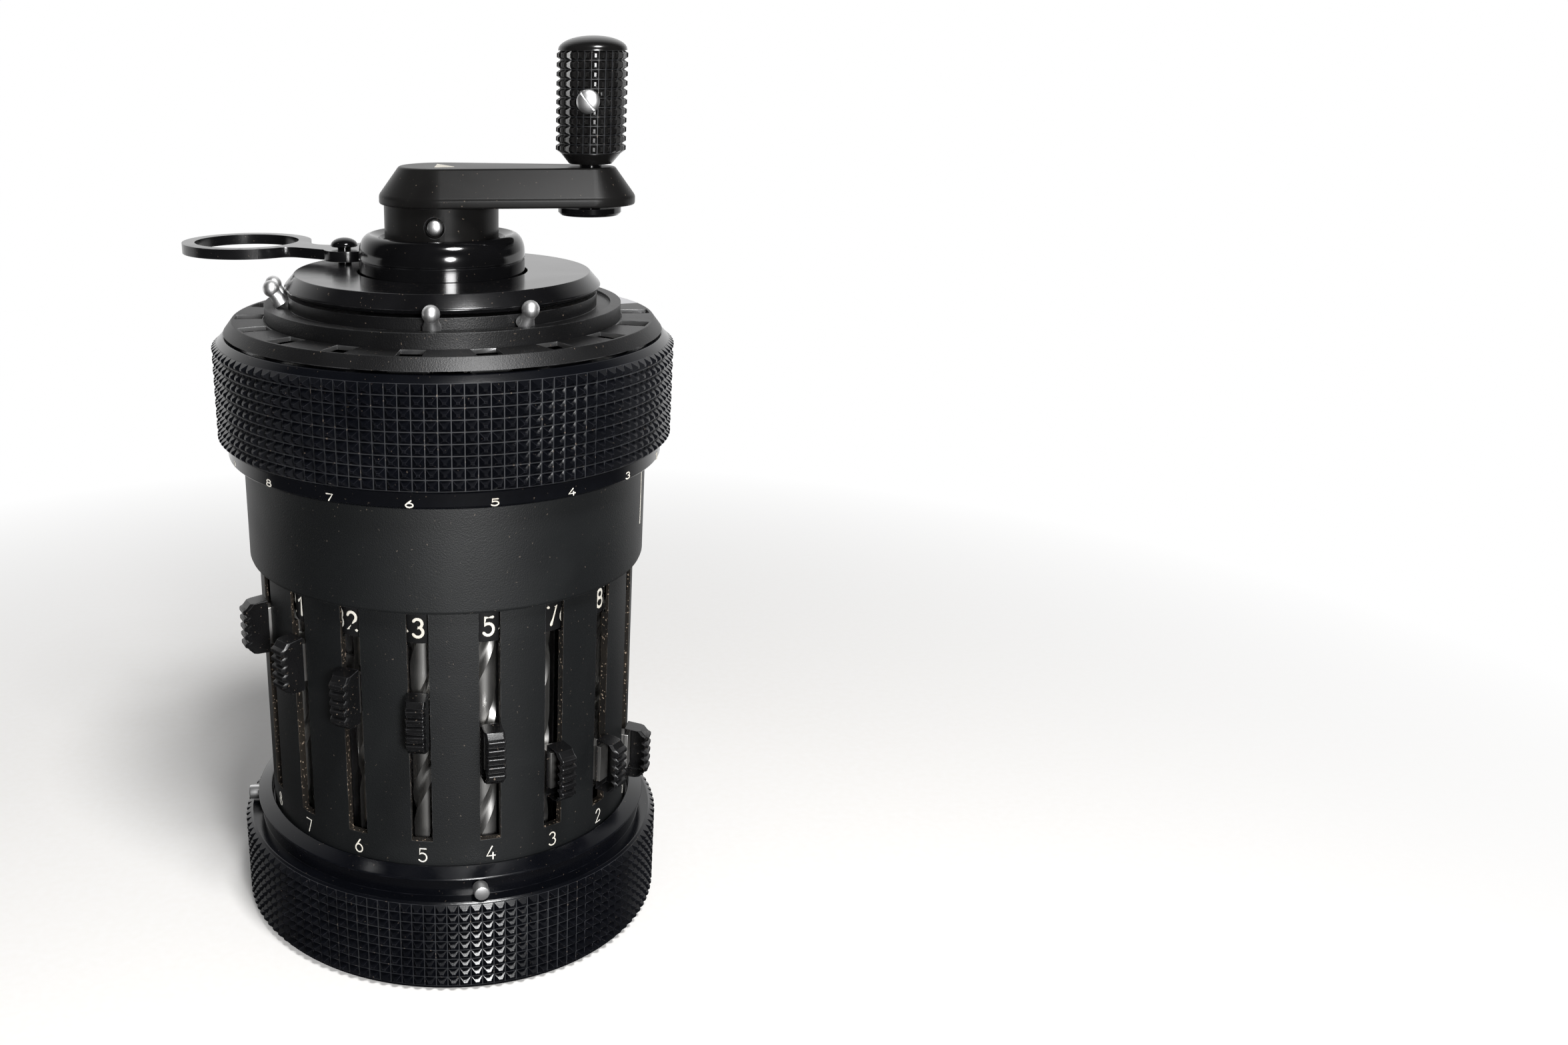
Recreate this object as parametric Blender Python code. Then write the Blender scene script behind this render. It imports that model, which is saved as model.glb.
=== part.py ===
"""A mechanical pocket calculator with a stepped drum, eight setting sliders and a turning carriage.

Run with: blender --background --python part.py. Lengths are in metres and +Z is up. The machine's
own axis is the Z axis and it stands on z = 0. An azimuth is measured from the front, which faces
-Y, and grows anticlockwise as seen from above, so +90 degrees faces +X.
"""

from math import acos, asin, atan2, cos, hypot, pi, radians, sin

import bmesh
import bpy
from mathutils import Matrix, Vector

# Fits
GAP = 0.0003
OVERRUN = 0.001
WELD = 0.0000001

# Smoothness of the round pieces
BIG_SIDES = 36
MIDDLE_SIDES = 24
SMALL_SIDES = 12
ROLLER_SIDES = 10
PIN_SIDES = 8
ROUND_STEPS = 3
BALL_STEPS = 4

# The eight columns, and the carriage in its second place
COLUMN_STEP = radians(20)
COLUMNS = 8
CARRIAGE_SHIFT = COLUMN_STEP
SET_DIGITS = {8: 0, 7: 1, 6: 2, 5: 3, 4: 5, 3: 7, 2: 8, 1: 9}
DIGITS = 10

# Knurling
KNURL_DEPTH = 0.00045
BASE_KNURL_ROWS = 3
CARRIAGE_KNURL_ROWS = 4

# Base ring
RING_PROUD = 0.00385
RING_CHAMFER = 0.0005
RING_KNURL_TOP = 0.0115
RING_SHOULDER = 0.00025
RING_WALL = 0.0036
TRACK_DEPTH = 0.0018
TRACK_HEIGHT = 0.0022
RAIL_DEPTH = 0.0005
RAIL_HEIGHT = 0.0002
RING_SLOPE = 0.00095
SEAT_DEPTH = 0.0019
FLANGE_THICKNESS = 0.0020
FLANGE_BORE = 0.0130

# Base plate
PLATE_THICKNESS = 0.0022
PLATE_BOSS_RADIUS = 0.0060
PLATE_BOSS_HEIGHT = 0.0048
PLATE_FLOOR = 0.0010

# Housing
BODY_RADIUS = 0.02265
BODY_WALL = 0.0009
ROLLER_WALL = 0.0004
BAND_STEP = 0.00105
BAND_BOTTOM = 0.0463
BAND_HEIGHT = 0.0120
BAND_CHAMFER = 0.0003
LEDGE_WIDTH = 0.00065
LEDGE_THICKNESS = 0.0012
SLOT_WIDTH = 0.0024
SLOT_FOOTROOM = 0.0005
SLOT_HEADROOM = 0.0001

# Upper plate and its guide tube
UPPER_THICKNESS = 0.0030
TUBE_RADIUS = 0.0079
TUBE_WALL = 0.00105
TUBE_HEIGHT = 0.0174
ROD_RADIUS = 0.0009

# Collar round the crank
COLLAR_FLANGE = 0.0015
COLLAR_HEIGHT = 0.0052
COLLAR_DOME = 0.0021
COLLAR_LIP = 0.0008
COLLAR_GROOVE_TOP = 0.00048
COLLAR_GROOVE_HEIGHT = 0.00019
COLLAR_GROOVE_DEPTH = 0.0002

# Sliders
DIGIT_PITCH = 0.0020
SLIDER_HEADROOM = 0.0028
SLIDER_WIDTH = 0.0028
SLIDER_PROUD = 0.0027
SLIDER_TOP = 0.0033
SLIDER_BOTTOM = 0.0031
SLIDER_SLOPE = 0.0007
RIB_COUNT = 5
RIB_DEPTH = 0.00035
RIB_BAND = 0.0052
STEM_WIDTH = 0.0017
STEM_HALF_HEIGHT = 0.0023
NOSE_RADIUS = 0.00035
NOSE_RISE = 0.0012
FORK_THICKNESS = 0.0011
FORK_DROP = 0.0020
FORK_WALL = 0.0004
FORK_END_WALL = 0.0004
PINION_RADIUS = 0.0017
PINION_LENGTH = 0.0022

# Digit shafts
SHAFT_RADIUS = 0.0015
GROOVE_WIDTH = 0.0015
GROOVE_DEPTH = 0.0007
SPIRAL_PLACES = 13
PIVOT_RADIUS = 0.0009
PIVOT_LENGTH = 0.0017
ROLLER_RADIUS = 0.0030
ROLLER_LENGTH = 0.0039
ROLLER_HEADROOM = 0.0001

# Reversing lever at the back
REVERSE_DROP = 0.0083
REVERSE_TRAVEL = 0.0050
REVERSE_HALF_HEIGHT = 0.0016
REVERSE_WIDTH = 0.0032
REVERSE_STEM_HALF = 0.0010
REVERSE_TAIL = 0.0012
REVERSE_TAIL_WIDTH = 0.0040

# Main shaft, step drum and tens bell
SHAFT_LIFT = 0.0030
MAIN_RADIUS = 0.0025
JOURNAL_RADIUS = 0.0020
JOURNAL_RISE = 0.0040
TOOTH_HEIGHT = 0.0024
TOOTH_WIDTH = 0.0015
TOOTH_STEP = radians(15)
DRUM_RISE = 0.0022
DRUM_HEADROOM = 0.0006
BELL_CLEARANCE = 0.0024
BELL_WALL = 0.0010
BELL_HEIGHT = 0.0087
BELL_THICKNESS = 0.0016
BELL_HUB_WALL = 0.0017

# Crank
CRANK_AZIMUTH = radians(81.5)
CRANK_LENGTH = 0.0166
HUB_CLEARANCE = 0.00042
HUB_RISE = 0.0040
ARM_RISE = 0.0033
ARM_LIP = 0.00095
ARM_HEIGHT = 0.0040
ARM_WIDE = 0.00695
ARM_NARROW = 0.0050
ARM_TAPER = 0.0023
PIN_RADIUS = 0.00083
PIN_DROP = 0.00203
PIN_PROUD = 0.0003

# Crank knob
AXLE_RADIUS = 0.0012
AXLE_HEAD_RADIUS = 0.0035
AXLE_HEAD_THICKNESS = 0.00085
KNOB_RADIUS = 0.00386
KNOB_KNURL_DEPTH = 0.00036
KNOB_SIDES = 16
KNOB_ROWS = 5
KNOB_NECK_RADIUS = 0.00235
KNOB_FOOT = 0.0015
KNOB_GRIP = 0.0104
KNOB_DOME = 0.0015
KNOB_CAP = 0.0045

# Carriage
CARRIAGE_PROUD = 0.0028
LIP_WALL = 0.0017
LIP_HEIGHT = 0.0018
CARRIAGE_STEP = 0.0003
CARRIAGE_GRIP = 0.0112
SHELL_BEVEL = 0.0014
SHELL_BEVEL_HEIGHT = 0.0007
SHELL_RIM = 0.0009
WEB_RISE = 0.0027
WEB_THICKNESS = 0.0031
SPRING_SEAT_RISE = 0.0016
SHELL_HUB_WALL = 0.0028
HUB_FOOT_WALL = 0.0033
COVER_SLOPE = 0.0010
COVER_SLOPE_HEIGHT = 0.0013
COVER_THICKNESS = 0.0005
COVER_WALL = 0.0007
BEAD_MARGIN = 0.00025
BEAD_HEIGHT = 0.00165
BEAD_WIDTH = 0.0012
BEAD_ROUND = 0.00035
MARKER_TRACK_WIDTH = 0.00155
COVER_NECK_HEIGHT = 0.0024
WINDOW_MARGIN = 0.0003
WINDOW_LENGTH = 0.0032
WINDOW_WIDTH = 0.0027

# Number dials of the carriage
DIAL_RADIUS = 0.00335
DIAL_DROP = 0.0003
DIAL_CLEARANCE = 0.00035
DIAL_LENGTH = 0.00335
DIAL_SHAFT_RADIUS = 0.0006
BEARING_WALL = 0.0003
RESULT_DIALS = 11
COUNTER_DIALS = 6
COUNTER_START = radians(-140)

# Carriage spring and its washer
WASHER_THICKNESS = 0.0005
WIRE_RADIUS = 0.0004
SPRING_STAND_OFF = 0.0010
SPRING_TURNS = 4.5
SPRING_STEPS = 12
WIRE_SIDES = 5

# Clearing plate, its lever and pivot
CLEARING_OVERHANG = 0.0004
CLEARING_EDGE = 0.0005
CLEARING_BEVEL = 0.00124
CLEARING_THICKNESS = 0.00197
LEVER_THICKNESS = 0.0012
LEVER_MARGIN = 0.00066
LEVER_WIDTH = 0.0054
PIN_SET_BACK = 0.0030
LEVER_STEM_HALF = 0.0017
LEVER_ROUND = 0.0031
STEM_ROUND = 0.0020
PIVOT_AZIMUTH = radians(-124.2)
STUD_AZIMUTH = radians(-166.0)
FINGER_RING_REACH = 0.0124
FINGER_RING_RADIUS = 0.0079
FINGER_RING_WIDTH = 0.00155
DOME_RADIUS = 0.0016
DOME_HEIGHT = 0.0010
DOME_SHANK = 0.0008
SHANK_DEPTH = 0.0010

# Sliding markers
DIAL_MARKER_AZIMUTHS = (-166.7, -94.6, -85.4, -5.1, 26.4)
BASE_MARKER_AZIMUTHS = (6.0, -90.0)
BALL_RADIUS = 0.00095
BALL_LEAN = 0.0010
BALL_RISE = 0.0021
FOOT_RADIUS = 0.0006
FOOT_MARGIN = 0.0002
BASE_STUD_RADIUS = 0.0009
BASE_STUD_LENGTH = 0.0015
BASE_STUD_EDGE = 0.00015

# Sizes that follow from those above: radii from the housing inwards
BODY_BORE = BODY_RADIUS - BODY_WALL
LEDGE_RADIUS = BODY_BORE - LEDGE_WIDTH
UPPER_RADIUS = BODY_BORE + GAP
ROLLER_BORE = BODY_RADIUS - ROLLER_WALL
SHAFT_CIRCLE = ROLLER_BORE - ((ROLLER_RADIUS + GAP) ** 2 - (SLOT_WIDTH / 2) ** 2) ** 0.5
SHAFT_FRONT = SHAFT_CIRCLE + SHAFT_RADIUS
ROD_CIRCLE = SHAFT_CIRCLE - ROLLER_RADIUS - GAP - ROD_RADIUS
FORK_END_RADIUS = ROD_RADIUS + GAP + FORK_END_WALL
TOOTH_RADIUS = ROD_CIRCLE - PINION_RADIUS - GAP
DRUM_RADIUS = TOOTH_RADIUS - TOOTH_HEIGHT
BELL_RADIUS = ROD_CIRCLE - ROD_RADIUS - BELL_CLEARANCE
MAIN_BORE = MAIN_RADIUS + GAP
BELL_HUB = MAIN_BORE + BELL_HUB_WALL
TUBE_BORE = TUBE_RADIUS - TUBE_WALL
SLIDE_BORE = TUBE_RADIUS + GAP
COLLAR_RADIUS = TUBE_RADIUS + COLLAR_FLANGE
COLLAR_BORE = COLLAR_RADIUS + GAP
SPRING_RADIUS = TUBE_RADIUS + SPRING_STAND_OFF
HUB_RADIUS = TUBE_BORE - HUB_CLEARANCE

# Radii from the housing outwards
SLIDER_FACE = BODY_RADIUS + SLIDER_PROUD
RING_RADIUS = BODY_RADIUS + RING_PROUD
RING_ROOT = RING_RADIUS - KNURL_DEPTH
TRACK_FLOOR = RING_ROOT - TRACK_DEPTH
RING_BORE = RING_ROOT - RING_WALL
BAND_RADIUS = BODY_RADIUS + BAND_STEP
CARRIAGE_RADIUS = BAND_RADIUS + CARRIAGE_PROUD
CARRIAGE_ROOT = CARRIAGE_RADIUS - KNURL_DEPTH
LIP_RADIUS = BAND_RADIUS + LIP_WALL
SHELL_TOP_RADIUS = CARRIAGE_RADIUS - SHELL_BEVEL
SHELL_BORE = SHELL_TOP_RADIUS - SHELL_RIM
SHELL_HUB_RADIUS = COLLAR_BORE + SHELL_HUB_WALL
HUB_FOOT_RADIUS = SLIDE_BORE + HUB_FOOT_WALL
COVER_EDGE_RADIUS = SHELL_TOP_RADIUS - COVER_SLOPE
WINDOW_OUTER = COVER_EDGE_RADIUS - WINDOW_MARGIN
WINDOW_INNER = WINDOW_OUTER - WINDOW_LENGTH
BEAD_RADIUS = WINDOW_INNER - BEAD_MARGIN
COVER_NECK_RADIUS = BEAD_RADIUS - BEAD_WIDTH - MARKER_TRACK_WIDTH
DIAL_OUTER = SHELL_BORE - DIAL_CLEARANCE
DIAL_INNER = DIAL_OUTER - DIAL_LENGTH
DIAL_SHAFT_END = COLLAR_BORE + BEARING_WALL + GAP
CLEARING_RADIUS = COVER_NECK_RADIUS + CLEARING_OVERHANG
CLEARING_FACE_RADIUS = CLEARING_RADIUS - CLEARING_BEVEL
LEVER_OUTER = CLEARING_FACE_RADIUS - LEVER_MARGIN
LEVER_INNER = LEVER_OUTER - LEVER_WIDTH
LEVER_END_RADIUS = LEVER_WIDTH / 2
LEVER_MIDDLE = LEVER_INNER + LEVER_END_RADIUS
PIN_CIRCLE = LEVER_INNER + PIN_SET_BACK
FINGER_RING_CENTRE = LEVER_OUTER + FINGER_RING_REACH
FOOT_CIRCLE = COVER_NECK_RADIUS + FOOT_RADIUS + FOOT_MARGIN
BALL_CIRCLE = FOOT_CIRCLE + BALL_LEAN

# Heights of the base and the setting works
TRACK_BOTTOM = RING_KNURL_TOP + RING_SHOULDER
TRACK_TOP = TRACK_BOTTOM + TRACK_HEIGHT
RING_TOP = TRACK_TOP + RING_SLOPE
FLANGE_TOP = RING_TOP - SEAT_DEPTH
FLANGE_BOTTOM = FLANGE_TOP - FLANGE_THICKNESS
PLATE_BOSS_TOP = PLATE_THICKNESS + PLATE_BOSS_HEIGHT
JOURNAL_TOP = PLATE_BOSS_TOP + JOURNAL_RISE
ROLLER_TOP = BAND_BOTTOM - ROLLER_HEADROOM
ROLLER_BOTTOM = ROLLER_TOP - ROLLER_LENGTH
SLIDER_ZERO = ROLLER_BOTTOM - SLIDER_HEADROOM
SLOT_BOTTOM = SLIDER_ZERO - (DIGITS - 1) * DIGIT_PITCH - SLIDER_BOTTOM - SLOT_FOOTROOM
REVERSE_HEIGHT = BAND_BOTTOM - REVERSE_DROP
BAND_TOP = BAND_BOTTOM + BAND_HEIGHT
UPPER_BOTTOM = BAND_TOP - UPPER_THICKNESS
BELL_SKIRT = UPPER_BOTTOM - BELL_HEIGHT
DRUM_TOP = BELL_SKIRT - SHAFT_LIFT - DRUM_HEADROOM
DRUM_BOTTOM = FLANGE_TOP + DRUM_RISE

# Heights of the carriage, the collar and the crank
TUBE_TOP = BAND_TOP + TUBE_HEIGHT
COLLAR_BOTTOM = TUBE_TOP + GAP
COLLAR_SHOULDER = COLLAR_BOTTOM + COLLAR_HEIGHT
COLLAR_CROWN = COLLAR_SHOULDER + COLLAR_DOME
CARRIAGE_BOTTOM = BAND_TOP + GAP
LIP_TOP = CARRIAGE_BOTTOM + LIP_HEIGHT
CARRIAGE_KNURL_BOTTOM = LIP_TOP + CARRIAGE_STEP
CARRIAGE_KNURL_TOP = CARRIAGE_KNURL_BOTTOM + CARRIAGE_GRIP
SHELL_TOP = CARRIAGE_KNURL_TOP + SHELL_BEVEL_HEIGHT
WEB_BOTTOM = CARRIAGE_BOTTOM + WEB_RISE
WEB_TOP = WEB_BOTTOM + WEB_THICKNESS
SPRING_SEAT = WEB_TOP + SPRING_SEAT_RISE
COVER_FACE = SHELL_TOP + GAP + COVER_SLOPE_HEIGHT
SHELL_HUB_TOP = COVER_FACE + COVER_NECK_HEIGHT
BEAD_TOP = COVER_FACE + BEAD_HEIGHT
MARKER_FLOOR = BEAD_TOP - BEAD_ROUND
BALL_HEIGHT = MARKER_FLOOR + BALL_RISE
DIAL_HEIGHT = COVER_FACE - COVER_THICKNESS - DIAL_DROP - DIAL_RADIUS
CLEARING_BOTTOM = SHELL_HUB_TOP + GAP + GAP
CLEARING_TOP = CLEARING_BOTTOM + CLEARING_THICKNESS
LEVER_BOTTOM = CLEARING_TOP + GAP
LEVER_TOP = LEVER_BOTTOM + LEVER_THICKNESS
DOME_BOTTOM = LEVER_TOP + GAP
HUB_BOTTOM = COLLAR_BOTTOM + HUB_RISE
ARM_BOTTOM = COLLAR_CROWN + ARM_RISE
ARM_TOP = ARM_BOTTOM + ARM_HEIGHT
SHAFT_TOP = ARM_BOTTOM - GAP
PIN_HEIGHT = ARM_BOTTOM - PIN_DROP
KNOB_KNURL_BOTTOM = ARM_TOP + KNOB_FOOT
KNOB_KNURL_TOP = KNOB_KNURL_BOTTOM + KNOB_GRIP
KNOB_TOP = KNOB_KNURL_TOP + KNOB_DOME
KNOB_BORE_TOP = KNOB_TOP - KNOB_CAP


def polar(radius, azimuth, height=0.0):
    """The point at this radius and azimuth."""
    return Vector((radius * sin(azimuth), -radius * cos(azimuth), height))


def column_azimuth(column):
    return ((COLUMNS + 1) / 2 - column) * COLUMN_STEP


def result_azimuth(dial):
    return column_azimuth(dial) + CARRIAGE_SHIFT


def counter_azimuth(dial):
    return COUNTER_START - (dial - 1) * COLUMN_STEP


def turned(outline, sides=BIG_SIDES):
    """A solid spun round Z from (radius, height) points, with a facet across the front."""
    solid = bmesh.new()
    points = [solid.verts.new((radius, 0, height)) for radius, height in outline]
    pairs = list(zip(points, points[1:]))
    if outline[0][0] > 0:
        pairs.append((points[-1], points[0]))
    edges = [solid.edges.new(pair) for pair in pairs]
    bmesh.ops.spin(
        solid, geom=points + edges, axis=(0, 0, 1), cent=(0, 0, 0), angle=2 * pi, steps=sides, use_merge=True
    )
    bmesh.ops.remove_doubles(solid, verts=solid.verts, dist=WELD)
    bmesh.ops.rotate(solid, matrix=Matrix.Rotation(pi / sides, 3, "Z"), verts=solid.verts)
    bmesh.ops.recalc_face_normals(solid, faces=solid.faces)
    return solid


def lofted(rings):
    """A solid through rings that have as many points each, closed flat at both ends."""
    solid = bmesh.new()
    loops = [[solid.verts.new(point) for point in ring] for ring in rings]
    for low, high in zip(loops, loops[1:]):
        for index in range(len(low)):
            after = (index + 1) % len(low)
            solid.faces.new((low[index], low[after], high[after], high[index]))
    solid.faces.new(loops[0])
    solid.faces.new(loops[-1])
    bmesh.ops.recalc_face_normals(solid, faces=solid.faces)
    return solid


def extruded(outline, low, high):
    """A flat (x, y) outline raised from one height to another."""
    return lofted([[(x, y, height) for x, y in outline] for height in (low, high)])


def across(outline, width):
    """A side outline of (radius, height) points, extruded to a width centred on the front."""
    return lofted([[(side * width / 2, -radius, height) for radius, height in outline] for side in (-1, 1)])


def arc(centre, radius, start, end, steps=ROUND_STEPS):
    """Plan points on a circle, from one azimuth to another."""
    points = []
    for step in range(steps + 1):
        place = polar(radius, start + (end - start) * step / steps)
        points.append((centre[0] + place.x, centre[1] + place.y))
    return points


def rod(radius, low, high, sides=SMALL_SIDES, at=(0.0, 0.0)):
    """An upright cylinder."""
    solid = bmesh.new()
    place = Matrix.Translation((at[0], at[1], (low + high) / 2))
    bmesh.ops.create_cone(
        solid, cap_ends=True, segments=sides, radius1=radius, radius2=radius, depth=high - low, matrix=place
    )
    return solid


def spoke(radius, inner, outer, height, sides=SMALL_SIDES):
    """A cylinder that lies along the front radius."""
    solid = rod(radius, inner, outer, sides)
    bmesh.ops.transform(solid, matrix=Matrix.Rotation(pi / 2, 4, "X"), verts=solid.verts)
    bmesh.ops.translate(solid, vec=(0, 0, height), verts=solid.verts)
    return solid


def block(width, inner, outer, low, high):
    """A block on the front radius."""
    return across([(inner, low), (outer, low), (outer, high), (inner, high)], width)


def round_about(pattern, azimuths):
    """Copies of a shape that faces the front, turned to each azimuth, as one mesh of separate bodies."""
    whole = bmesh.new()
    mesh = bpy.data.meshes.new("pattern")
    pattern.to_mesh(mesh)
    for azimuth in azimuths:
        known = len(whole.verts)
        whole.from_mesh(mesh)
        whole.verts.ensure_lookup_table()
        fresh = whole.verts[known:]
        bmesh.ops.transform(whole, matrix=Matrix.Rotation(azimuth, 4, "Z"), verts=fresh)
    bpy.data.meshes.remove(mesh)
    return whole


def knurl(solid, root, low, high, depth):
    """Raises a pyramid on each face of a turned band between two heights."""
    faces = []
    for face in solid.faces:
        middle = face.calc_center_median()
        on_band = low < middle.z < high and abs(max(v.co.xy.length for v in face.verts) - root) < depth / 2
        if on_band and abs(face.normal.z) < 0.5:
            faces.append(face)
    bmesh.ops.poke(solid, faces=faces, offset=depth, center_mode="MEAN")


def rows(root, low, high, count):
    """The profile points of a band that is cut in rows."""
    return [(root, low + (high - low) * row / count) for row in range(count + 1)]


def crown(start, end, steps=ROUND_STEPS):
    """Profile points on a quarter round that leaves the first point upright and reaches the second level."""
    across_by = end[0] - start[0]
    up_by = end[1] - start[1]
    points = []
    for step in range(steps + 1):
        turn = pi / 2 * step / steps
        points.append((start[0] + across_by * (1 - cos(turn)), start[1] + up_by * sin(turn)))
    points[-1] = end
    return points


def as_mesh(solid, name):
    mesh = bpy.data.meshes.new(name)
    solid.to_mesh(mesh)
    solid.free()
    return mesh


def add_object(name, mesh):
    thing = bpy.data.objects.new(name, mesh)
    bpy.context.scene.collection.objects.link(thing)
    return thing


def machined(name, base, joined=(), cut=()):
    """One closed mesh: the base with the first shapes joined on and the others cut away."""
    blank = add_object(name, as_mesh(base, name))
    helpers = []
    for operation, shapes in (("UNION", joined), ("DIFFERENCE", cut)):
        for shape in shapes:
            helper = add_object(name + "_tool", as_mesh(shape, name + "_tool"))
            helper.hide_render = True
            helper.display_type = "WIRE"
            modifier = blank.modifiers.new(operation.lower(), "BOOLEAN")
            modifier.operation = operation
            modifier.object = helper
            helpers.append(helper)
    graph = bpy.context.evaluated_depsgraph_get()
    mesh = bpy.data.meshes.new_from_object(blank.evaluated_get(graph))
    mesh.name = name
    for thing in [blank] + helpers:
        spent = thing.data
        bpy.data.objects.remove(thing)
        bpy.data.meshes.remove(spent)
    return mesh


def finish(name, colour, roughness, metallic):
    material = bpy.data.materials.new(name)
    material.use_nodes = True
    shader = material.node_tree.nodes["Principled BSDF"]
    shader.inputs["Base Color"].default_value = (*colour, 1)
    shader.inputs["Roughness"].default_value = roughness
    shader.inputs["Metallic"].default_value = metallic
    return material


def place(name, mesh, material, location=(0, 0, 0), azimuth=0.0, parent=None):
    """Puts a finished piece in the scene, smooth except at its edges."""
    piece = add_object(name, mesh)
    if not mesh.materials:
        mesh.materials.append(material)
    mesh.shade_smooth()
    mesh.set_sharp_from_angle(angle=radians(35))
    piece.location = location
    piece.rotation_euler.z = azimuth
    piece.parent = parent
    return piece


def pivot(name, location=(0, 0, 0), parent=None):
    """An empty on a joint's axis."""
    empty = bpy.data.objects.new(name, None)
    bpy.context.scene.collection.objects.link(empty)
    empty.location = location
    empty.parent = parent
    return empty


for old in list(bpy.data.objects):
    bpy.data.objects.remove(old)

BLACK_SATIN = finish("black_satin", (0.02, 0.02, 0.022), 0.45, 0.0)
BLACK_GLOSS = finish("black_gloss", (0.01, 0.01, 0.012), 0.18, 0.0)
BLACK_MATT = finish("black_matt", (0.025, 0.025, 0.027), 0.6, 0.0)
BARE_STEEL = finish("bare_steel", (0.62, 0.62, 0.6), 0.3, 1.0)
BARE_ALUMINIUM = finish("bare_aluminium", (0.75, 0.75, 0.76), 0.35, 1.0)
DIAL_BLACK = finish("dial_black", (0.015, 0.015, 0.015), 0.35, 0.0)

COLUMN_AZIMUTHS = [column_azimuth(column) for column in range(1, COLUMNS + 1)]
RESULT_AZIMUTHS = [result_azimuth(dial) for dial in range(1, RESULT_DIALS + 1)]
COUNTER_AZIMUTHS = [counter_azimuth(dial) for dial in range(1, COUNTER_DIALS + 1)]
DIAL_AZIMUTHS = RESULT_AZIMUTHS + COUNTER_AZIMUTHS


# Base ring: a knurled grip with a track for the markers, and a flange that carries the works
def base_ring():
    outline = [(RING_BORE, 0), (RING_ROOT - RING_CHAMFER, 0)]
    outline += rows(RING_ROOT, RING_CHAMFER, RING_KNURL_TOP, BASE_KNURL_ROWS)
    outline += [
        (RING_ROOT - RING_SHOULDER, TRACK_BOTTOM),
        (TRACK_FLOOR, TRACK_BOTTOM),
        (TRACK_FLOOR, TRACK_TOP),
        (TRACK_FLOOR + RAIL_DEPTH, TRACK_TOP),
        (TRACK_FLOOR + RAIL_DEPTH, TRACK_TOP + RAIL_HEIGHT),
        (BODY_RADIUS + GAP + RAIL_HEIGHT, RING_TOP),
        (BODY_RADIUS + GAP, RING_TOP),
        (BODY_RADIUS + GAP, FLANGE_TOP),
        (FLANGE_BORE, FLANGE_TOP),
        (FLANGE_BORE, FLANGE_BOTTOM),
        (RING_BORE, FLANGE_BOTTOM),
    ]
    solid = turned(outline)
    knurl(solid, RING_ROOT, RING_CHAMFER, RING_KNURL_TOP, KNURL_DEPTH)
    at = (0, -SHAFT_CIRCLE)
    hole = rod(PIVOT_RADIUS + GAP, FLANGE_BOTTOM - OVERRUN, FLANGE_TOP + OVERRUN, PIN_SIDES, at)
    return machined("base_ring", solid, cut=[round_about(hole, COLUMN_AZIMUTHS)])


# Base plate: closes the underside and carries the foot of the main shaft
def base_plate():
    outline = [
        (0, 0),
        (RING_BORE - GAP, 0),
        (RING_BORE - GAP, PLATE_THICKNESS),
        (PLATE_BOSS_RADIUS, PLATE_THICKNESS),
        (PLATE_BOSS_RADIUS, PLATE_BOSS_TOP),
        (JOURNAL_RADIUS + GAP, PLATE_BOSS_TOP),
        (JOURNAL_RADIUS + GAP, PLATE_FLOOR),
        (0, PLATE_FLOOR),
    ]
    return as_mesh(turned(outline, MIDDLE_SIDES), "base_plate")


# Housing: a drawn shell, turned thinner round the rollers, with slots for the sliders and a band on top
def housing():
    bottom = FLANGE_TOP + GAP
    ledge = UPPER_BOTTOM - GAP
    outline = [
        (BODY_BORE, bottom),
        (BODY_RADIUS, bottom),
        (BODY_RADIUS, BAND_BOTTOM),
        (BAND_RADIUS - BAND_CHAMFER, BAND_BOTTOM),
        (BAND_RADIUS, BAND_BOTTOM + BAND_CHAMFER),
        (BAND_RADIUS, BAND_TOP),
        (UPPER_RADIUS + GAP, BAND_TOP),
        (UPPER_RADIUS + GAP, ledge),
        (LEDGE_RADIUS, ledge),
        (LEDGE_RADIUS, ledge - LEDGE_THICKNESS),
        (BODY_BORE, ledge - LEDGE_THICKNESS),
        (BODY_BORE, ROLLER_TOP + GAP),
        (ROLLER_BORE, ROLLER_TOP + GAP),
        (ROLLER_BORE, ROLLER_BOTTOM - GAP),
        (BODY_BORE, ROLLER_BOTTOM - GAP),
    ]
    inner = LEDGE_RADIUS
    outer = BODY_RADIUS + OVERRUN
    slot = block(SLOT_WIDTH, inner, outer, SLOT_BOTTOM, BAND_BOTTOM - SLOT_HEADROOM)
    half = REVERSE_STEM_HALF + GAP
    low = REVERSE_HEIGHT - REVERSE_TRAVEL - half
    back = block(SLOT_WIDTH, inner, outer, low, REVERSE_HEIGHT + half)
    slots = [round_about(slot, COLUMN_AZIMUTHS), round_about(back, [pi])]
    return machined("housing", turned(outline), cut=slots)


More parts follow.
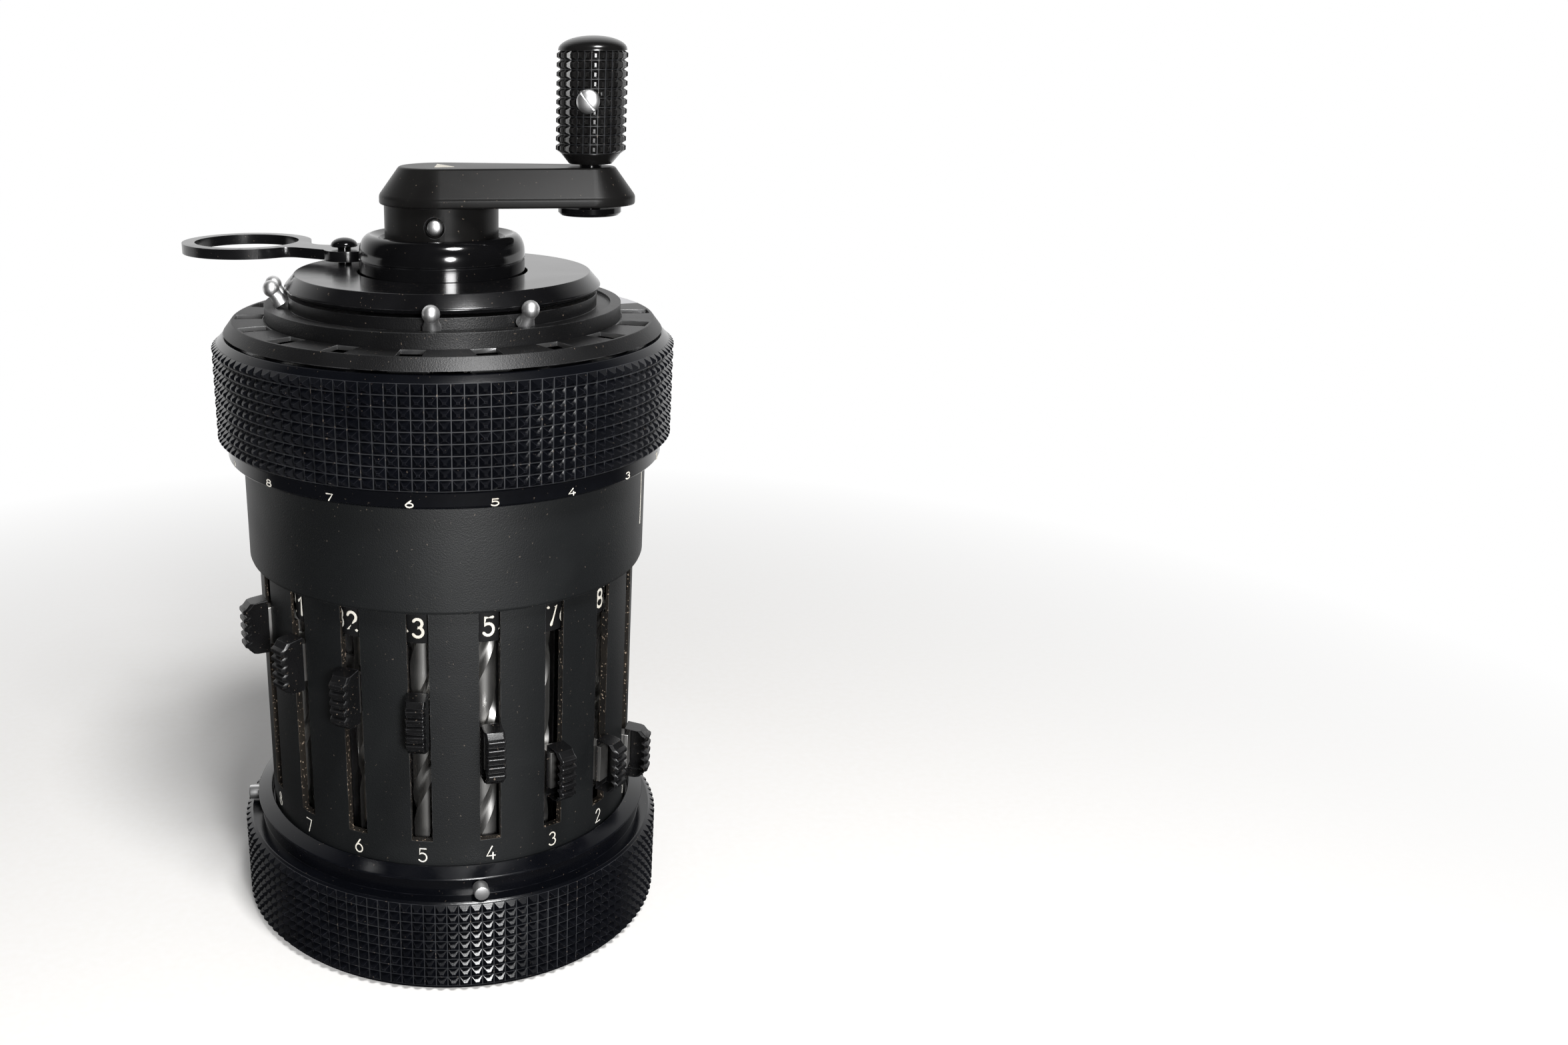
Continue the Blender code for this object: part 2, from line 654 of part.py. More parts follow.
# Upper plate: the top bearing of every shaft, with the tube that the carriage slides on
def upper_plate():
    bore_top = BAND_TOP - PLATE_FLOOR
    outline = [
        (MAIN_BORE, UPPER_BOTTOM),
        (UPPER_RADIUS, UPPER_BOTTOM),
        (UPPER_RADIUS, BAND_TOP),
        (TUBE_RADIUS, BAND_TOP),
        (TUBE_RADIUS, TUBE_TOP),
        (TUBE_BORE, TUBE_TOP),
        (TUBE_BORE, bore_top),
        (MAIN_BORE, bore_top),
    ]
    at = (0, -SHAFT_CIRCLE)
    shaft = rod(ROD_RADIUS, FLANGE_TOP + GAP, UPPER_BOTTOM + OVERRUN, PIN_SIDES, (0, -ROD_CIRCLE))
    hole = rod(PIVOT_RADIUS + GAP, UPPER_BOTTOM - OVERRUN, BAND_TOP + OVERRUN, PIN_SIDES, at)
    return machined(
        "upper_plate",
        turned(outline),
        joined=[round_about(shaft, COLUMN_AZIMUTHS)],
        cut=[round_about(hole, COLUMN_AZIMUTHS)],
    )


# Collar: a glossy two-step ring on the guide tube, which keeps the carriage on
def collar():
    rim = (COLLAR_RADIUS + TUBE_BORE) / 2
    groove = COLLAR_SHOULDER - COLLAR_GROOVE_TOP
    outline = [
        (TUBE_BORE, COLLAR_BOTTOM),
        (COLLAR_RADIUS, COLLAR_BOTTOM),
        (COLLAR_RADIUS, groove - COLLAR_GROOVE_HEIGHT),
        (COLLAR_RADIUS - COLLAR_GROOVE_DEPTH, groove - COLLAR_GROOVE_HEIGHT),
        (COLLAR_RADIUS - COLLAR_GROOVE_DEPTH, groove),
        (COLLAR_RADIUS, groove),
    ]
    outline += crown((COLLAR_RADIUS, COLLAR_SHOULDER), (rim, COLLAR_CROWN))
    outline += [(TUBE_BORE, COLLAR_CROWN - COLLAR_LIP)]
    return as_mesh(turned(outline, MIDDLE_SIDES), "collar")


# Slider: a ribbed knob outside the slot, a stem through it, a nose for the spiral and a fork with its pinion
def slider():
    ribs = [(SLIDER_FACE - RIB_DEPTH, -SLIDER_BOTTOM + SLIDER_SLOPE)]
    for rib in range(RIB_COUNT):
        low = -RIB_BAND / 2 + RIB_BAND * rib / RIB_COUNT
        ribs.append((SLIDER_FACE - RIB_DEPTH, low))
        ribs.append((SLIDER_FACE, low + RIB_BAND / RIB_COUNT / 2))
    ribs.append((SLIDER_FACE - RIB_DEPTH, RIB_BAND / 2))
    seat = BODY_RADIUS + GAP
    knob_side = [(seat, -SLIDER_BOTTOM), (SLIDER_FACE - RIB_DEPTH - SLIDER_SLOPE / 2, -SLIDER_BOTTOM)] + ribs[1:]
    knob_side += [(SLIDER_FACE - SLIDER_SLOPE, SLIDER_TOP - SLIDER_SLOPE / 2), (seat, SLIDER_TOP)]
    back = SHAFT_FRONT + GAP + FORK_WALL / 2
    stem = block(STEM_WIDTH, back, seat + GAP, -STEM_HALF_HEIGHT, STEM_HALF_HEIGHT)
    nose = spoke(NOSE_RADIUS, SHAFT_FRONT - GROOVE_DEPTH + GAP, back + GAP, NOSE_RISE, PIN_SIDES)
    eye = SHAFT_RADIUS + GAP + FORK_WALL
    outline = arc((0, -SHAFT_CIRCLE), eye, radians(-100), radians(100), 5)
    outline += arc((0, -ROD_CIRCLE), FORK_END_RADIUS, radians(100), radians(260), 3)
    fork = extruded(outline, -FORK_DROP, -FORK_DROP + FORK_THICKNESS)
    low = -FORK_DROP - PINION_LENGTH
    pinion = rod(PINION_RADIUS, low, -FORK_DROP + FORK_THICKNESS / 2, PIN_SIDES, (0, -ROD_CIRCLE))
    fork_top = -FORK_DROP + FORK_THICKNESS
    tunnel = rod(SHAFT_RADIUS + GAP, low - OVERRUN, fork_top + GAP, PIN_SIDES, (0, -SHAFT_CIRCLE))
    bore = rod(ROD_RADIUS + GAP, low - OVERRUN, fork_top + GAP, PIN_SIDES, (0, -ROD_CIRCLE))
    return machined(
        "slider", across(knob_side, SLIDER_WIDTH), joined=[stem, nose, fork, pinion], cut=[tunnel, bore]
    )


# Digit shaft: a spiral groove that the slider's nose turns, and a roller with the digits on its top
def grooved_ring(height, turn):
    """A ring of the shaft with its groove facing the front, turned by an angle."""
    floor = SHAFT_RADIUS - GROOVE_DEPTH
    corner = atan2(GROOVE_WIDTH / 2, floor)
    edge = asin(GROOVE_WIDTH / 2 / SHAFT_RADIUS)
    reach = hypot(GROOVE_WIDTH / 2, floor)
    places = [(SHAFT_RADIUS, -edge), (reach, -corner), (reach, corner), (SHAFT_RADIUS, edge)]
    rest = PIN_SIDES - len(places)
    for step in range(1, rest + 1):
        places.append((SHAFT_RADIUS, edge + (2 * pi - 2 * edge) * step / (rest + 1)))
    return [polar(radius, azimuth + turn, height) for radius, azimuth in places]


def digit_shaft(nose_height):
    """One shaft, turned so that its groove faces the front at the height of the slider's nose."""
    foot = FLANGE_TOP + GAP
    head = UPPER_BOTTOM - GAP
    start = SLIDER_ZERO + NOSE_RISE
    heights = [start - DIGIT_PITCH * place for place in range(SPIRAL_PLACES, -1, -1)]
    rings = []
    for height in [foot] + heights + [ROLLER_BOTTOM + GAP]:
        rings.append(grooved_ring(height, (height - nose_height) / DIGIT_PITCH * 2 * pi / DIGITS))
    spiral = lofted(rings)
    bmesh.ops.triangulate(spiral, faces=spiral.faces, quad_method="SHORT_EDGE")
    lower_pivot = rod(PIVOT_RADIUS, foot - PIVOT_LENGTH, foot + GAP, PIN_SIDES)
    roller = rod(ROLLER_RADIUS, ROLLER_BOTTOM, ROLLER_TOP, ROLLER_SIDES)
    upper_pivot = rod(PIVOT_RADIUS, ROLLER_TOP - GAP, head + PIVOT_LENGTH, PIN_SIDES)
    return machined("digit_shaft", spiral, joined=[lower_pivot, roller, upper_pivot])


# Reversing lever: a small ribbed slider at the back, held from inside by a wider tail
def reversing_lever():
    seat = BODY_RADIUS + GAP
    half = REVERSE_HALF_HEIGHT
    side = [
        (seat, -half),
        (SLIDER_FACE - RIB_DEPTH, -half),
        (SLIDER_FACE, -half / 3),
        (SLIDER_FACE - RIB_DEPTH, 0),
        (SLIDER_FACE, half / 3),
        (SLIDER_FACE - RIB_DEPTH, half),
        (seat, half),
    ]
    tail_face = BODY_BORE - GAP
    stem_half = REVERSE_STEM_HALF
    stem = block(STEM_WIDTH, tail_face - REVERSE_TAIL / 2, seat + GAP, -stem_half, stem_half)
    tail = block(REVERSE_TAIL_WIDTH, tail_face - REVERSE_TAIL, tail_face, -half, half)
    return machined("reversing_lever", across(side, REVERSE_WIDTH), joined=[stem, tail])


# Main shaft: from its foot in the base plate up into the hub of the crank
def main_shaft():
    foot = PLATE_FLOOR + GAP
    outline = [
        (0, foot),
        (JOURNAL_RADIUS, foot),
        (JOURNAL_RADIUS, JOURNAL_TOP),
        (MAIN_RADIUS, JOURNAL_TOP),
        (MAIN_RADIUS, SHAFT_TOP),
        (0, SHAFT_TOP),
    ]
    reach = MAIN_RADIUS + OVERRUN
    hole = spoke(PIN_RADIUS + GAP, -reach, reach, PIN_HEIGHT)
    bmesh.ops.rotate(hole, matrix=Matrix.Rotation(CRANK_AZIMUTH - pi / 2, 3, "Z"), verts=hole.verts)
    return machined("main_shaft", turned(outline, SMALL_SIDES), cut=[hole])


# Step drum: nine teeth, each shorter than the last, so a pinion meets as many as the digit that is set
def step_drum():
    outline = [
        (MAIN_BORE, DRUM_BOTTOM),
        (DRUM_RADIUS, DRUM_BOTTOM),
        (DRUM_RADIUS, DRUM_TOP),
        (MAIN_BORE, DRUM_TOP),
    ]
    pinion_at_zero = SLIDER_ZERO - FORK_DROP - PINION_LENGTH / 2
    teeth = bmesh.new()
    scrap = bpy.data.meshes.new("tooth")
    for tooth in range(1, DIGITS):
        top = pinion_at_zero - tooth * DIGIT_PITCH + DIGIT_PITCH / 2
        shape = block(TOOTH_WIDTH, DRUM_RADIUS - OVERRUN, TOOTH_RADIUS, DRUM_BOTTOM, top)
        turn = Matrix.Rotation(pi + tooth * TOOTH_STEP, 4, "Z")
        bmesh.ops.transform(shape, matrix=turn, verts=shape.verts)
        shape.to_mesh(scrap)
        shape.free()
        teeth.from_mesh(scrap)
    bpy.data.meshes.remove(scrap)
    return machined("step_drum", turned(outline, MIDDLE_SIDES), joined=[teeth])


# Tens bell: turns with the crank under the upper plate but doesn't lift with it
def tens_bell():
    deck = UPPER_BOTTOM - GAP
    under = BELL_SKIRT + BELL_THICKNESS
    outline = [
        (MAIN_BORE, under),
        (BELL_RADIUS - BELL_WALL, under),
        (BELL_RADIUS - BELL_WALL, BELL_SKIRT),
        (BELL_RADIUS, BELL_SKIRT),
        (BELL_RADIUS, under + BELL_THICKNESS),
        (BELL_HUB, under + BELL_THICKNESS),
        (BELL_HUB, deck),
        (MAIN_BORE, deck),
    ]
    return as_mesh(turned(outline, MIDDLE_SIDES), "tens_bell")


# Crank arm: a tapered lever with sloping flanks on a round hub
def arm_outline(wide, narrow, height):
    """Two half rounds joined by their common tangents, with the arm lying towards the front."""
    lean = asin((wide - narrow) / CRANK_LENGTH)
    low = pi / 2 - lean
    points = arc((0, -CRANK_LENGTH), narrow, -low, low, 8)
    points += arc((0, 0), wide, low, 2 * pi - low, 12)
    return [(x, y, height) for x, y in points]


def crank_arm():
    lip_top = ARM_BOTTOM + ARM_LIP
    rings = [
        arm_outline(ARM_WIDE, ARM_NARROW, ARM_BOTTOM),
        arm_outline(ARM_WIDE, ARM_NARROW, lip_top),
        arm_outline(ARM_WIDE - ARM_TAPER, ARM_NARROW - ARM_TAPER, ARM_TOP),
    ]
    hub = rod(HUB_RADIUS, HUB_BOTTOM, lip_top, MIDDLE_SIDES)
    bore = rod(MAIN_BORE, HUB_BOTTOM - OVERRUN, SHAFT_TOP + GAP)
    axle_bore = rod(AXLE_RADIUS + GAP, ARM_BOTTOM - OVERRUN, ARM_TOP + OVERRUN, at=(0, -CRANK_LENGTH))
    reach = HUB_RADIUS + OVERRUN
    pin_bore = spoke(PIN_RADIUS + GAP, -reach, reach, PIN_HEIGHT)
    bmesh.ops.rotate(pin_bore, matrix=Matrix.Rotation(-pi / 2, 3, "Z"), verts=pin_bore.verts)
    return machined("crank_arm", lofted(rings), joined=[hub], cut=[bore, axle_bore, pin_bore])


# Crank pin: a cross pin with rounded ends through the hub and the main shaft
def crank_pin():
    end = HUB_RADIUS + PIN_PROUD
    half = [(PIN_RADIUS, 0)] + crown((PIN_RADIUS, end - PIN_RADIUS / 2), (0, end), 2)
    outline = [(radius, -height) for radius, height in half[:0:-1]] + half[1:]
    solid = turned(outline, ROLLER_SIDES)
    bmesh.ops.rotate(solid, matrix=Matrix.Rotation(pi / 2, 3, "X"), verts=solid.verts)
    bmesh.ops.translate(solid, vec=(0, 0, PIN_HEIGHT), verts=solid.verts)
    return as_mesh(solid, "crank_pin")


# Knob axle: a flat head under the arm and a stem up into the knob
def knob_axle():
    head_top = ARM_BOTTOM - GAP
    stem_top = KNOB_BORE_TOP - GAP
    outline = [
        (0, head_top - AXLE_HEAD_THICKNESS),
        (AXLE_HEAD_RADIUS, head_top - AXLE_HEAD_THICKNESS),
        (AXLE_HEAD_RADIUS, head_top),
        (AXLE_RADIUS, head_top),
        (AXLE_RADIUS, stem_top),
        (0, stem_top),
    ]
    return as_mesh(turned(outline, SMALL_SIDES), "knob_axle")


# Knob: a knurled grip with a domed top and a conical foot
def knob():
    root = KNOB_RADIUS - KNOB_KNURL_DEPTH
    outline = [(AXLE_RADIUS + GAP, ARM_TOP + GAP), (KNOB_NECK_RADIUS, ARM_TOP + GAP)]
    outline += rows(root, KNOB_KNURL_BOTTOM, KNOB_KNURL_TOP, KNOB_ROWS)
    outline = [(0, KNOB_BORE_TOP), (AXLE_RADIUS + GAP, KNOB_BORE_TOP)] + outline
    outline += crown((root, KNOB_KNURL_TOP), (0, KNOB_TOP), 3)[1:]
    solid = turned(outline, KNOB_SIDES)
    knurl(solid, root, KNOB_KNURL_BOTTOM, KNOB_KNURL_TOP, KNOB_KNURL_DEPTH)
    return as_mesh(solid, "knob")


# Carriage shell: the knurled upper ring, its web, and the hub that slides on the guide tube
def carriage_shell():
    outline = [(LIP_RADIUS, CARRIAGE_BOTTOM), (LIP_RADIUS, LIP_TOP)]
    outline += rows(CARRIAGE_ROOT, CARRIAGE_KNURL_BOTTOM, CARRIAGE_KNURL_TOP, CARRIAGE_KNURL_ROWS)
    outline += [
        (SHELL_TOP_RADIUS, SHELL_TOP),
        (SHELL_BORE, SHELL_TOP),
        (SHELL_BORE, WEB_TOP),
        (SHELL_HUB_RADIUS, WEB_TOP),
        (SHELL_HUB_RADIUS, SHELL_HUB_TOP),
        (COLLAR_BORE, SHELL_HUB_TOP),
        (COLLAR_BORE, SPRING_SEAT),
        (SLIDE_BORE, SPRING_SEAT),
        (SLIDE_BORE, CARRIAGE_BOTTOM),
        (HUB_FOOT_RADIUS, CARRIAGE_BOTTOM),
        (HUB_FOOT_RADIUS, WEB_BOTTOM),
        (BAND_RADIUS + GAP, WEB_BOTTOM),
        (BAND_RADIUS + GAP, CARRIAGE_BOTTOM),
    ]
    solid = turned(outline)
    knurl(solid, CARRIAGE_ROOT, CARRIAGE_KNURL_BOTTOM, CARRIAGE_KNURL_TOP, KNURL_DEPTH)
    pocket = DIAL_SHAFT_END - GAP
    bearing = spoke(DIAL_SHAFT_RADIUS + GAP, pocket, SHELL_HUB_RADIUS + OVERRUN, DIAL_HEIGHT, PIN_SIDES)
    return machined("carriage_shell", solid, cut=[round_about(bearing, DIAL_AZIMUTHS)])


# Carriage cover: the dial ring with a window over each roller, and the track of the upper markers
def carriage_cover():
    under = COVER_FACE - COVER_THICKNESS
    foot = SHELL_TOP + GAP
    neck_top = SHELL_HUB_TOP + GAP
    bore = SHELL_HUB_RADIUS + GAP
    outline = [
        (SHELL_TOP_RADIUS, foot),
        (COVER_EDGE_RADIUS, COVER_FACE),
        (BEAD_RADIUS, COVER_FACE),
        (BEAD_RADIUS, BEAD_TOP - BEAD_ROUND),
        (BEAD_RADIUS - BEAD_ROUND, BEAD_TOP),
        (BEAD_RADIUS - BEAD_WIDTH + BEAD_ROUND, BEAD_TOP),
        (BEAD_RADIUS - BEAD_WIDTH, MARKER_FLOOR),
        (COVER_NECK_RADIUS, MARKER_FLOOR),
        (COVER_NECK_RADIUS, neck_top),
        (bore, neck_top),
        (bore, under),
        (SHELL_TOP_RADIUS - 2 * COVER_WALL, under),
        (SHELL_TOP_RADIUS - COVER_WALL, foot),
    ]
    window = block(WINDOW_WIDTH, WINDOW_INNER, WINDOW_OUTER, under - OVERRUN, COVER_FACE + OVERRUN)
    return machined("carriage_cover", turned(outline), cut=[round_about(window, DIAL_AZIMUTHS)])


# Number dial: a roller on a long shaft that runs in the shell's hub
def number_dial():
    outline = [
        (0, -DIAL_OUTER),
        (DIAL_RADIUS, -DIAL_OUTER),
        (DIAL_RADIUS, -DIAL_INNER),
        (DIAL_SHAFT_RADIUS, -DIAL_INNER),
        (DIAL_SHAFT_RADIUS, -DIAL_SHAFT_END),
        (0, -DIAL_SHAFT_END),
    ]
    solid = turned(outline, ROLLER_SIDES)
    bmesh.ops.rotate(solid, matrix=Matrix.Rotation(-pi / 2, 3, "X"), verts=solid.verts)
    return as_mesh(solid, "number_dial")


# Carriage washer: lifts with the carriage and takes the thrust of the spring
def carriage_washer():
    low = SPRING_SEAT + GAP
    outline = [
        (SLIDE_BORE, low),
        (COLLAR_BORE - GAP, low),
        (COLLAR_BORE - GAP, low + WASHER_THICKNESS),
        (SLIDE_BORE, low + WASHER_THICKNESS),
    ]
    return as_mesh(turned(outline, MIDDLE_SIDES), "carriage_washer")


# Carriage spring: an open coil between the washer and the collar
def carriage_spring():
    low = SPRING_SEAT + GAP + WASHER_THICKNESS + GAP + WIRE_RADIUS
    high = COLLAR_BOTTOM - GAP - WIRE_RADIUS
    steps = round(SPRING_TURNS * SPRING_STEPS)
    lean = atan2(high - low, 2 * pi * SPRING_RADIUS * SPRING_TURNS)
    rings = []
    for step in range(steps + 1):
        azimuth = 2 * pi * SPRING_TURNS * step / steps
        centre = polar(SPRING_RADIUS, azimuth, low + (high - low) * step / steps)
        outward = polar(1, azimuth)
        upward = Vector((0, 0, cos(lean))) - sin(lean) * polar(1, azimuth + pi / 2)
        ring = []
        for side in range(WIRE_SIDES):
            turn = 2 * pi * side / WIRE_SIDES
            ring.append(centre + WIRE_RADIUS * (cos(turn) * outward + sin(turn) * upward))
        rings.append(ring)
    return as_mesh(lofted(rings), "carriage_spring")


# Clearing plate: the bevelled top disc, with the stud that the lever is latched on
def domed_pin(low, neck_top):
    """A round-headed pin on the Z axis."""
    outline = [(0, low), (DOME_SHANK, low), (DOME_SHANK, neck_top)]
    outline += crown((DOME_RADIUS, neck_top), (0, neck_top + DOME_HEIGHT), 3)
    return turned(outline, SMALL_SIDES)


def clearing_plate():
    outline = [
        (COLLAR_BORE, CLEARING_BOTTOM),
        (CLEARING_RADIUS - CLEARING_EDGE, CLEARING_BOTTOM),
        (CLEARING_RADIUS, CLEARING_BOTTOM + CLEARING_EDGE),
        (CLEARING_FACE_RADIUS, CLEARING_TOP),
        (COLLAR_BORE, CLEARING_TOP),
    ]
    stud = domed_pin(CLEARING_TOP - SHANK_DEPTH, DOME_BOTTOM)
    bmesh.ops.translate(stud, vec=polar(PIN_CIRCLE, STUD_AZIMUTH), verts=stud.verts)
    seat = polar(PIN_CIRCLE, PIVOT_AZIMUTH)
    pocket = rod(DOME_SHANK + GAP, CLEARING_TOP - SHANK_DEPTH - GAP, CLEARING_TOP + OVERRUN, at=seat.xy)
    return machined("clearing_plate", turned(outline), joined=[stud], cut=[pocket])


def lever_pivot():
    solid = domed_pin(CLEARING_TOP - SHANK_DEPTH, DOME_BOTTOM)
    return as_mesh(solid, "lever_pivot")


# Clearing lever: a finger ring on a stem, and a curved tail whose notch takes the stud
def lever_outline():
    """The lever's plan, with its stem towards the front and its tail round the axis to -X."""
    tail = STUD_AZIMUTH - PIVOT_AZIMUTH
    ring = (0, -FINGER_RING_CENTRE)
    # On the tail's side one round touches both the finger ring and the tail
    from_axis = LEVER_OUTER + LEVER_ROUND
    from_ring = FINGER_RING_RADIUS + LEVER_ROUND
    along = (FINGER_RING_CENTRE**2 + from_axis**2 - from_ring**2) / FINGER_RING_CENTRE / 2
    bend = acos(along / from_axis)
    tail_round = polar(from_axis, -bend).xy
    at_ring = asin(from_axis * sin(bend) / from_ring)
    # On the other side a smaller round runs from the finger ring into the straight stem
    beside = LEVER_STEM_HALF + STEM_ROUND
    near_ring = asin(beside / (FINGER_RING_RADIUS + STEM_ROUND))
    stem_round = (beside, -FINGER_RING_CENTRE + (FINGER_RING_RADIUS + STEM_ROUND) * cos(near_ring))
    corner = asin(LEVER_STEM_HALF / LEVER_END_RADIUS)
    outline = arc(ring, FINGER_RING_RADIUS, at_ring - pi, pi - near_ring, 22)
    outline += arc(stem_round, STEM_ROUND, -near_ring, -pi / 2, 3)[1:]
    outline += arc((0, -LEVER_MIDDLE), LEVER_END_RADIUS, corner, pi, 5)
    outline += arc((0, 0), LEVER_INNER, 0, tail, 6)[1:]
    outline += arc(polar(LEVER_MIDDLE, tail).xy, LEVER_END_RADIUS, tail - pi, tail, 6)[1:]
    outline += arc((0, 0), LEVER_OUTER, tail, -bend, 6)[1:]
    outline += arc(tail_round, LEVER_ROUND, pi - bend, at_ring, 6)[1:-1]
    return outline


def notch_outline(stud_place, pivot_place):
    """A slot round the pivot, from the stud out to the lever's inner edge."""
    half = DOME_SHANK + GAP
    reach = stud_place - pivot_place
    start = atan2(reach.x, -reach.y)
    end = start - 2 * LEVER_END_RADIUS / reach.length
    points = arc(stud_place, half, start, start + pi, 5)
    points += arc(pivot_place, reach.length - half, start, end)[1:]
    return points + arc(pivot_place, reach.length + half, end, start)[:-1]


def clearing_lever():
    low = LEVER_BOTTOM - OVERRUN
    high = LEVER_TOP + OVERRUN
    pivot_place = polar(PIN_CIRCLE, 0).xy
    stud_place = polar(PIN_CIRCLE, STUD_AZIMUTH - PIVOT_AZIMUTH).xy
    plate = extruded(lever_outline(), LEVER_BOTTOM, LEVER_TOP)
    finger_hole = rod(FINGER_RING_RADIUS - FINGER_RING_WIDTH, low, high, MIDDLE_SIDES, (0, -FINGER_RING_CENTRE))
    pivot_hole = rod(DOME_SHANK + GAP, low, high, at=pivot_place)
    notch = extruded(notch_outline(stud_place, pivot_place), low, high)
    return machined("clearing_lever", plate, cut=[finger_hole, pivot_hole, notch])


# Markers: small bright pins that slide along their tracks
def ball_pin(ball_radius, foot_radius, length):
    """A pin from the origin up Z to the centre of its ball."""
    neck = length - (ball_radius**2 - foot_radius**2) ** 0.5
    outline = [(0, 0), (foot_radius, 0), (foot_radius, neck)]
    start = asin(foot_radius / ball_radius)
    for step in range(1, BALL_STEPS + 1):
        turn = start + (pi - start) * step / BALL_STEPS
        outline.append((max(ball_radius * sin(turn), 0.0), length - ball_radius * cos(turn)))
    outline[-1] = (0, length + ball_radius)
    return turned(outline, PIN_SIDES)


def dial_marker():
    foot = Vector((FOOT_CIRCLE, MARKER_FLOOR + GAP + FOOT_RADIUS / 2))
    ball = Vector((BALL_CIRCLE, BALL_HEIGHT))
    lean = atan2(ball.x - foot.x, ball.y - foot.y)
    solid = ball_pin(BALL_RADIUS, FOOT_RADIUS, (ball - foot).length)
    bmesh.ops.rotate(solid, matrix=Matrix.Rotation(lean, 3, "X"), verts=solid.verts)
    bmesh.ops.translate(solid, vec=(0, -foot.x, foot.y), verts=solid.verts)
    return as_mesh(solid, "dial_marker")


def base_marker():
    outline = [(0, 0), (BASE_STUD_RADIUS, 0), (BASE_STUD_RADIUS, BASE_STUD_LENGTH - BASE_STUD_EDGE)]
    outline += [(BASE_STUD_RADIUS - BASE_STUD_EDGE, BASE_STUD_LENGTH), (0, BASE_STUD_LENGTH)]
    solid = turned(outline, SMALL_SIDES)
    bmesh.ops.rotate(solid, matrix=Matrix.Rotation(pi / 2, 3, "X"), verts=solid.verts)
    bmesh.ops.translate(solid, vec=(0, -TRACK_FLOOR - GAP, (TRACK_BOTTOM + TRACK_TOP) / 2), verts=solid.verts)
    return as_mesh(solid, "base_marker")


# Assembly: the fixed works
place("housing", housing(), BLACK_MATT)
place("base_ring", base_ring(), BLACK_SATIN)
place("base_plate", base_plate(), BLACK_MATT)
place("upper_plate", upper_plate(), BARE_ALUMINIUM)
place("collar", collar(), BLACK_GLOSS)
place("carriage_spring", carriage_spring(), BARE_STEEL)
base_marker_mesh = base_marker()
for number, azimuth in enumerate(BASE_MARKER_AZIMUTHS, 1):
    place(f"base_marker_{number}", base_marker_mesh, BARE_ALUMINIUM, azimuth=radians(azimuth))
place("reversing_lever", reversing_lever(), BLACK_SATIN, (0, 0, REVERSE_HEIGHT), pi)

# Assembly: the setting works
slider_mesh = slider()
for column in range(1, COLUMNS + 1):
    height = SLIDER_ZERO - SET_DIGITS[column] * DIGIT_PITCH
    azimuth = column_azimuth(column)
    place(f"slider_{column}", slider_mesh, BLACK_SATIN, (0, 0, height), azimuth)
    axis = polar(SHAFT_CIRCLE, azimuth)
    place(f"digit_shaft_{column}", digit_shaft(height + NOSE_RISE), BARE_STEEL, axis, azimuth)

# Assembly: the crank and what it turns
crank_axis = pivot("crank_axis")
crank_turn = CRANK_AZIMUTH
place("tens_bell", tens_bell(), BARE_ALUMINIUM, parent=crank_axis)
place("main_shaft", main_shaft(), BARE_STEEL, parent=crank_axis)
place("step_drum", step_drum(), BARE_ALUMINIUM, parent=crank_axis)
place("crank_arm", crank_arm(), BLACK_SATIN, azimuth=crank_turn, parent=crank_axis)
place("crank_pin", crank_pin(), BARE_STEEL, azimuth=crank_turn - pi / 2, parent=crank_axis)
knob_place = polar(CRANK_LENGTH, CRANK_AZIMUTH)
place("knob_axle", knob_axle(), BLACK_GLOSS, knob_place, parent=crank_axis)
place("knob", knob(), BLACK_SATIN, knob_place, parent=crank_axis)

# Assembly: the carriage and what it carries
carriage_axis = pivot("carriage_axis")
place("carriage_washer", carriage_washer(), BARE_STEEL, parent=carriage_axis)
place("carriage_shell", carriage_shell(), BLACK_SATIN, parent=carriage_axis)
place("carriage_cover", carriage_cover(), BLACK_MATT, parent=carriage_axis)
dial_mesh = number_dial()
for number, azimuth in enumerate(RESULT_AZIMUTHS, 1):
    place(f"result_dial_{number}", dial_mesh, DIAL_BLACK, (0, 0, DIAL_HEIGHT), azimuth, carriage_axis)
for number, azimuth in enumerate(COUNTER_AZIMUTHS, 1):
    place(f"counter_dial_{number}", dial_mesh, DIAL_BLACK, (0, 0, DIAL_HEIGHT), azimuth, carriage_axis)
marker_mesh = dial_marker()
for number, azimuth in enumerate(DIAL_MARKER_AZIMUTHS, 1):
    turn = radians(azimuth)
    place(f"dial_marker_{number}", marker_mesh, BARE_ALUMINIUM, azimuth=turn, parent=carriage_axis)
place("clearing_plate", clearing_plate(), BLACK_MATT, parent=carriage_axis)
lever_place = polar(PIN_CIRCLE, PIVOT_AZIMUTH)
place("lever_pivot", lever_pivot(), BLACK_GLOSS, lever_place, parent=carriage_axis)
lever_mesh = clearing_lever()
lever_mesh.transform(Matrix.Translation(-polar(PIN_CIRCLE, 0)))
place("clearing_lever", lever_mesh, BLACK_SATIN, lever_place, PIVOT_AZIMUTH, carriage_axis)
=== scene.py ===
from math import acos, asin, atan2, cos, pi, radians, sin

import bmesh
import bpy
from mathutils import Matrix, Vector


